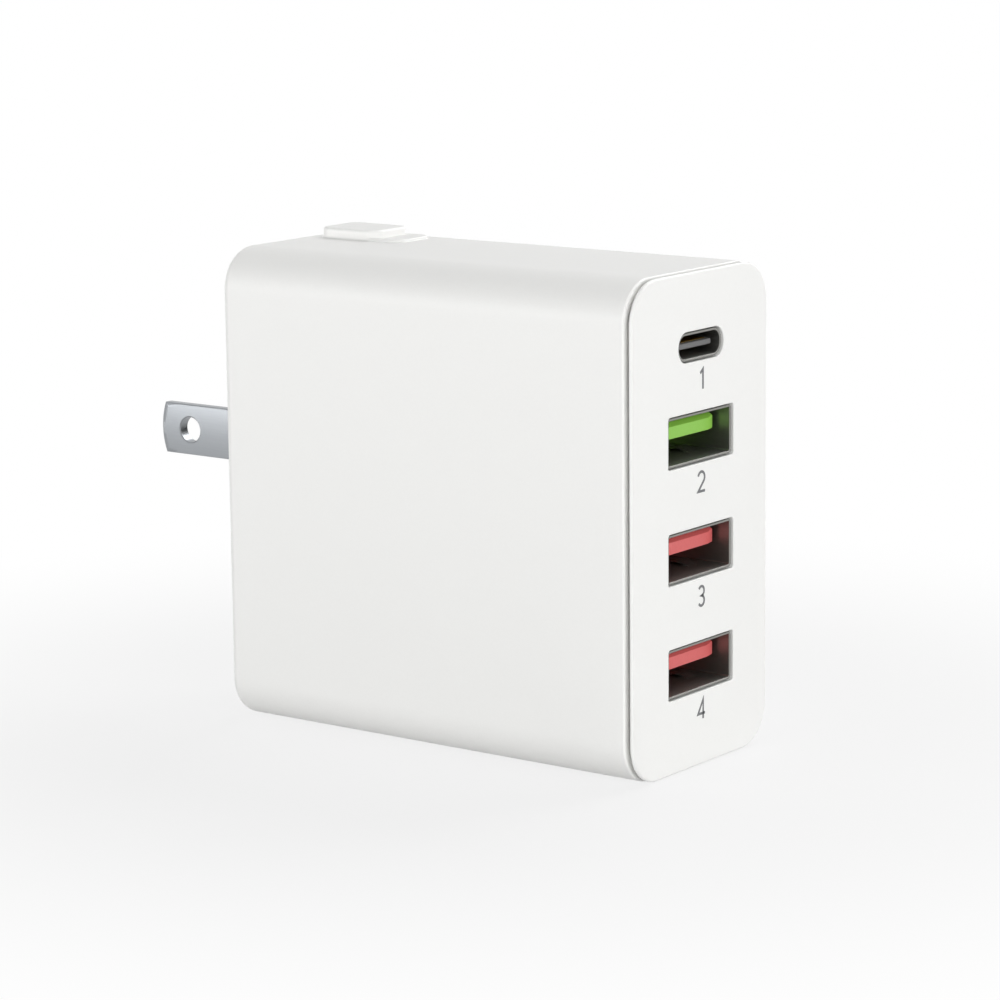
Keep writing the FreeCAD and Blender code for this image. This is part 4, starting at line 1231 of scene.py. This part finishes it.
@dataclass
class PlugTub:
    """Moulded tub in the rear wall: pocket for the barrel, a slot for each blade and a finger well."""

    wall: float = 1.4
    corner: float = 1.5
    flange: float = BAY_FLANGE
    flange_thickness: float = 1.4
    edge: float = 0.25
    mouth_edge: float = 0.45
    mouth_corner: float = 0.5
    floor_round: float = 0.4
    running_gap: float = 0.35
    slot_clearance: float = 0.45
    well_depth: float = 3.6
    well_length: float = 11.0
    well_edge: float = 0.3
    half: float = field(init=False)
    low: float = field(init=False)
    top: float = field(init=False)
    front_y: float = field(init=False)
    rear_y: float = field(init=False)
    floor_y: float = field(init=False)
    lip_y: float = field(init=False)
    shoulder: float = field(init=False)
    mouth_top: float = field(init=False)
    slot_outside: float = field(init=False)
    slot_inside: float = field(init=False)

    def __post_init__(self) -> None:
        """Work out the tub's walls from the boxes of its node, the barrel and a blade."""
        box = Span.of("plug_bay")
        blade = Span.of("plug_blade_live")
        pivot_y, pivot_z = Span.of("plug_barrel").middle[Axis.Y:]
        self.half = box.high[Axis.X]
        self.low = box.low[Axis.Z] + self.flange
        self.top = box.high[Axis.Z] - self.flange
        self.front_y = box.low[Axis.Y]
        self.rear_y = box.high[Axis.Y]
        self.floor_y = self.front_y + self.wall
        self.lip_y = pivot_y + SHANK_WIDTH / 2 + self.running_gap
        self.shoulder = pivot_z - BARREL_RADIUS - self.running_gap
        self.mouth_top = pivot_z + BARREL_RADIUS + self.running_gap
        blade_faces = np.abs([blade.low[Axis.X], blade.high[Axis.X]])
        self.slot_outside = blade_faces.max() + self.slot_clearance
        self.slot_inside = blade_faces.min() - self.slot_clearance

    def outside(self, inset: float) -> Points:
        """Outer outline, with a plain point on each side across from each corner of the mouth.

        Args:
            inset: how far the outline is moved in.

        Returns:
            Closed loop of x and z.
        """
        side = self.half - inset
        top = self.top - inset
        low = self.low + inset
        round_off = self.corner - inset
        corners = np.array([
            (side, top), (-side, top), (-side, self.shoulder), (-side, self.shoulder - self.wall),
            (-side, low), (side, low), (side, self.shoulder - self.wall), (side, self.shoulder),
        ])
        return rounded_path(corners, np.array([round_off, round_off, 0, 0, round_off, round_off, 0, 0]))

    def mouth(self, grown: float, top: float) -> Points:
        """Outline of the mouth: wide at the barrel and narrower along the slots.

        Args:
            grown: how far the outline is moved out.
            top: height of the mouth's upper edge.

        Returns:
            Closed loop of x and z.
        """
        wide = self.half - self.wall
        narrow = self.slot_outside
        low = self.low + self.wall
        corners = np.array([
            (wide, top), (-wide, top), (-wide, self.shoulder), (-narrow, self.shoulder),
            (-narrow, low), (narrow, low), (narrow, self.shoulder), (wide, self.shoulder),
        ])
        turns = np.array([1, 1, 1, -1, 1, 1, -1, 1])
        return rounded_path(corners - grown * mitred_inset(corners), self.mouth_corner + grown * turns)

    def shell(self) -> Surface:
        """Tub as loops carried along Y: up the outside, over the rim, and down the mouth to its floor.

        Returns:
            Closed surface of the tub's walls and floor.
        """
        pocket_top = self.top - self.wall
        base = arc((self.edge, self.front_y + self.edge), self.edge, 270, 180, EDGE_STEPS)
        rim = arc((self.edge, self.rear_y - self.edge), self.edge, 180, 90, EDGE_STEPS)
        stations = [(self.outside(inset), y) for inset, y in np.concatenate([base, rim])]
        lip = arc((self.mouth_edge, self.rear_y - self.mouth_edge), self.mouth_edge, 90, 180, EDGE_STEPS)
        stations += [(self.mouth(grown, self.mouth_top), y) for grown, y in lip]
        stations.append((self.mouth(0.0, self.mouth_top), self.lip_y))
        stations.append((self.mouth(0.0, pocket_top), self.lip_y))
        fillet = self.floor_round
        floor = arc((-fillet, self.floor_y + fillet), fillet, 0, -90, EDGE_STEPS)
        stations += [(self.mouth(grown, pocket_top), y) for grown, y in floor]
        return Surface.loft(np.stack([lift(loop, Axis.Y, y) for loop, y in stations]), caps=True)

    def flanges(self) -> Surface:
        """Bars above and below the tub that sit behind the case's rear wall.

        Returns:
            Two closed bars that run into the tub's walls.
        """
        back = self.rear_y - CASE_WALL
        overlap = self.wall / 2
        upper = Outline(-self.half, self.half, self.top - overlap, self.top + self.flange, self.edge)
        lower = replace(upper, low=self.low - self.flange, high=self.low + overlap)
        front = back - self.flange_thickness
        return Surface.joined([straight_bar(outline, front, back) for outline in (upper, lower)])

    def island(self) -> Surface:
        """Block between the slots and the floor of the finger well, as rounded outlines carried along Y.

        Returns:
            Two closed blocks that stand in the tub's floor.
        """
        well_top = self.low + self.wall + self.well_length
        block = Outline(-self.slot_inside, self.slot_inside, well_top, self.shoulder, self.mouth_corner)
        ledge = replace(block.inset(self.edge), low=self.low + self.edge, high=well_top + self.wall)
        parts = []
        for outline, level, edge in (
            (block, self.rear_y, self.mouth_edge),
            (ledge, self.rear_y - self.well_depth, self.well_edge),
        ):
            top = arc((edge, level - edge), edge, 180, 90, EDGE_STEPS)
            profile = np.concatenate([[(0.0, self.floor_y - self.edge)], top])
            parts.append(solid(outline, profile))
        return Surface.joined(parts)

    def build(self) -> None:
        """Make the tub's piece."""
        piece = Piece("plug_tub", Material.TUB, "white_inner_plastic", ("plug_bay",))
        piece.build(Surface.joined([self.shell(), self.flanges(), self.island()]))


# Inner parts that keep their CAD shape

INNER_FINISHES: dict[str, Material] = {
    "usb_a_contacts": Material.GOLD,
    "usb_c_contacts": Material.GOLD,
    "contact_strip": Material.STRIP,
    "bulk_capacitor": Material.SLEEVE,
    "output_capacitor": Material.SLEEVE,
    "transformer_core": Material.FERRITE,
    "transformer_bobbin": Material.BOBBIN,
    "transformer_winding": Material.TAPE,
    "transformer_pins": Material.PIN,
    "choke_core": Material.FERRITE,
    "choke_winding": Material.COPPER,
    "line_capacitor": Material.TAPE,
    "fuse": Material.TUBE,
    "bridge_rectifier": Material.CHIP,
    "bridging_capacitor": Material.DISC,
    "main_board": Material.BOARD,
    "port_board": Material.BOARD,
    "board_chips": Material.CHIP,
    "port_chips": Material.CHIP,
    "heat_spreader": Material.SPREADER,
    "insulating_sheet": Material.FILM,
    "thermal_pad": Material.PAD,
}


def dress_inner_parts(nodes: dict[str, bpy.types.Object]) -> None:
    """Give each CAD node that still shows the finish of its kind.

    Args:
        nodes: the frame's CAD nodes by name.
    """
    for name, node in nodes.items():
        kind = next((stem for stem in INNER_FINISHES if name.startswith(stem)), None)
        if node.hide_render or kind is None:
            continue
        material = INNER_FINISHES[kind].value.material()
        for slot in node.material_slots:
            slot.material = material
        LOG.info("%s: %s", name, material.name)


# Studio


def looking_at(
    target: Points, azimuth: float, elevation: float, distance_m: float, roll: float = 0.0
) -> Matrix:
    """Place a lamp or a camera round a target and turn it to look there.

    It stands off along (sin a cos e, -cos a cos e, sin e), for azimuth a and elevation e. Its right side is
    level and then turned by the roll.

    Args:
        target: point to look at, in metres.
        azimuth: degrees round Z, from -Y towards +X.
        elevation: degrees above level.
        distance_m: distance from the target.
        roll: degrees that the right side is turned up.

    Returns:
        World matrix of the lamp or camera.
    """
    around, above, turned = np.radians([azimuth, elevation, roll])
    away = np.array([np.sin(around) * np.cos(above), -np.cos(around) * np.cos(above), np.sin(above)])
    level = np.array([np.cos(around), np.sin(around), 0.0])
    steep = np.cross(away, level)
    right = np.cos(turned) * level + np.sin(turned) * steep
    matrix = np.eye(4)
    matrix[:3, :3] = np.column_stack([right, np.cross(away, right), away])
    matrix[:3, 3] = target + distance_m * away
    return Matrix(matrix.tolist())


@dataclass(frozen=True)
class Softbox:
    """Square soft lamp that lights a face turned to it at a given level, where one is white paper.

    A lamp without sheen only fills the shade: it is left out of reflections.
    """

    name: str
    azimuth: float
    elevation: float
    level: float
    distance_m: float = 0.8
    size_m: float = 0.5
    sheen: bool = True

    def build(self, target: Points) -> None:
        """Hang the lamp round a target.

        A small lamp of P watts at distance d lights a white face to P / (pi d)^2, which gives its power.

        Args:
            target: point that the lamp looks at, in metres.
        """
        lamp = bpy.data.lights.new(self.name, "AREA")
        lamp.shape = "SQUARE"
        lamp.size = self.size_m
        lamp.energy = self.level * (math.pi * self.distance_m) ** 2
        shown = show(self.name, lamp)
        shown.matrix_world = looking_at(target, self.azimuth, self.elevation, self.distance_m)
        shown.visible_glossy = self.sheen


@dataclass
class Studio:
    """White sweep, soft lamps and the camera at the photograph's angle."""

    aim_m: tuple[float, float, float] = (0.0048, 0.0024, 0.0272)
    azimuth: float = -53.3
    elevation: float = 10.9
    roll: float = -0.6
    distance_m: float = 0.4317
    lens: float = 128.1
    sensor: float = 36.0
    clip_start_m: float = 0.01
    floor_size_m: float = 6.0
    floor_colour: str = "CFCFCF"
    shadow_share: float = 0.2
    shadow_near_m: float = 0.04
    shadow_far_m: float = 0.13
    ambient: float = 0.14
    softboxes: tuple[Softbox, ...] = (
        Softbox("lamp_left", -120.0, 1.0, 0.37, size_m=0.3),
        Softbox("fill_left", -120.0, 1.0, 0.46, sheen=False),
        Softbox("fill_front", -22.0, 9.0, 0.82, sheen=False),
        Softbox("fill_rear", 160.0, 5.0, 0.3, sheen=False),
        Softbox("lamp_top", 80.0, 48.0, 0.66),
    )

    @staticmethod
    def white_rays(tree: bpy.types.NodeTree) -> bpy.types.NodeSocket:
        """Tell the rays that come from the camera, a gloss or a clear surface from the rest.

        Args:
            tree: node tree of the floor or the world.

        Returns:
            Socket that is one for those rays and zero for the rest.
        """
        path = add_node(tree, "ShaderNodeLightPath")
        white = path.outputs["Is Camera Ray"]
        for ray in ("Is Glossy Ray", "Is Transmission Ray"):
            either = add_node(tree, "ShaderNodeMath", {0: white, 1: path.outputs[ray]}, operation="MAXIMUM")
            white = either.outputs[0]
        return white

    def world(self) -> None:
        """White to the eye and in reflections, and a low even fill for the surfaces."""
        world = bpy.data.worlds.new("white_room")
        bpy.context.scene.world = world
        world.use_nodes = True
        tree = world.node_tree
        strength = add_node(
            tree,
            "ShaderNodeMapRange",
            {"Value": self.white_rays(tree), "To Min": self.ambient, "To Max": 1.0},
        )
        tree.links.new(strength.outputs["Result"], tree.nodes["Background"].inputs["Strength"])
        tree.nodes["Background"].inputs["Color"].default_value = WHITE

    def floor(self) -> None:
        """Pale floor that shows the charger's shadow near it and turns to plain white further out."""
        half = self.floor_size_m / 2
        mesh = bpy.data.meshes.new("floor")
        square = [(-half, -half, 0), (half, -half, 0), (half, half, 0), (-half, half, 0)]
        mesh.from_pydata(square, [], [(0, 1, 2, 3)])
        shown = show("floor", mesh)
        shown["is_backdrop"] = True
        material = bpy.data.materials.new("pale_floor")
        material.use_nodes = True
        tree = material.node_tree
        tree.nodes.remove(tree.nodes["Principled BSDF"])
        place = add_node(tree, "ShaderNodeTexCoord")
        reach = add_node(tree, "ShaderNodeVectorMath", {0: place.outputs["Object"]}, operation="LENGTH")
        fade = add_node(
            tree,
            "ShaderNodeMapRange",
            {
                "Value": reach.outputs["Value"],
                "From Min": self.shadow_near_m,
                "From Max": self.shadow_far_m,
                "To Min": 1.0 - self.shadow_share,
                "To Max": 1.0,
            },
            interpolation_type="SMOOTHSTEP",
        )
        share = add_node(
            tree,
            "ShaderNodeMath",
            {0: fade.outputs["Result"], 1: self.white_rays(tree)},
            operation="MULTIPLY",
        )
        lit = add_node(tree, "ShaderNodeBsdfDiffuse", {"Color": linear(self.floor_colour)})
        white = add_node(tree, "ShaderNodeEmission", {"Color": WHITE, "Strength": 1.0})
        mixed = add_node(
            tree,
            "ShaderNodeMixShader",
            {0: share.outputs[0], 1: lit.outputs["BSDF"], 2: white.outputs["Emission"]},
        )
        tree.links.new(mixed.outputs["Shader"], tree.nodes["Material Output"].inputs["Surface"])
        mesh.materials.append(material)

    def camera(self) -> None:
        """Camera with the photograph's place, turn and lens."""
        lens = bpy.data.cameras.new("camera")
        lens.lens = self.lens
        lens.sensor_width = self.sensor
        lens.clip_start = self.clip_start_m
        shown = show("camera", lens)
        aim = np.array(self.aim_m)
        shown.matrix_world = looking_at(aim, self.azimuth, self.elevation, self.distance_m, self.roll)
        bpy.context.scene.camera = shown

    def build(self) -> None:
        """Make the room, the lamps and the camera."""
        bpy.context.scene.view_settings.view_transform = "Standard"
        self.world()
        self.floor()
        low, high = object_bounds()
        middle = (np.array(low) + np.array(high)) / 2
        for softbox in self.softboxes:
            softbox.build(middle)
        self.camera()


def corners() -> list[list[float]]:
    """Lowest and highest corner of what shows, as plain lists."""
    return [list(corner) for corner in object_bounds()]


def main() -> None:
    """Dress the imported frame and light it."""
    logging.basicConfig(level=logging.INFO, format="%(name)s: %(message)s")
    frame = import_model()
    Housing().build()
    panel = PortPanel()
    panel.build()
    PortNumbers().build(panel)
    UsbCSocket().build()
    UsbASocket(1, Material.GREEN, "green_tongue_plastic").build()
    for number in (2, 3):
        UsbASocket(number, Material.RED, "red_tongue_plastic").build()
    FoldingPlug().build()
    PlugTub().build()
    dress_inner_parts(frame["nodes"])
    Studio().build()


if __name__ == "__main__":
    main()
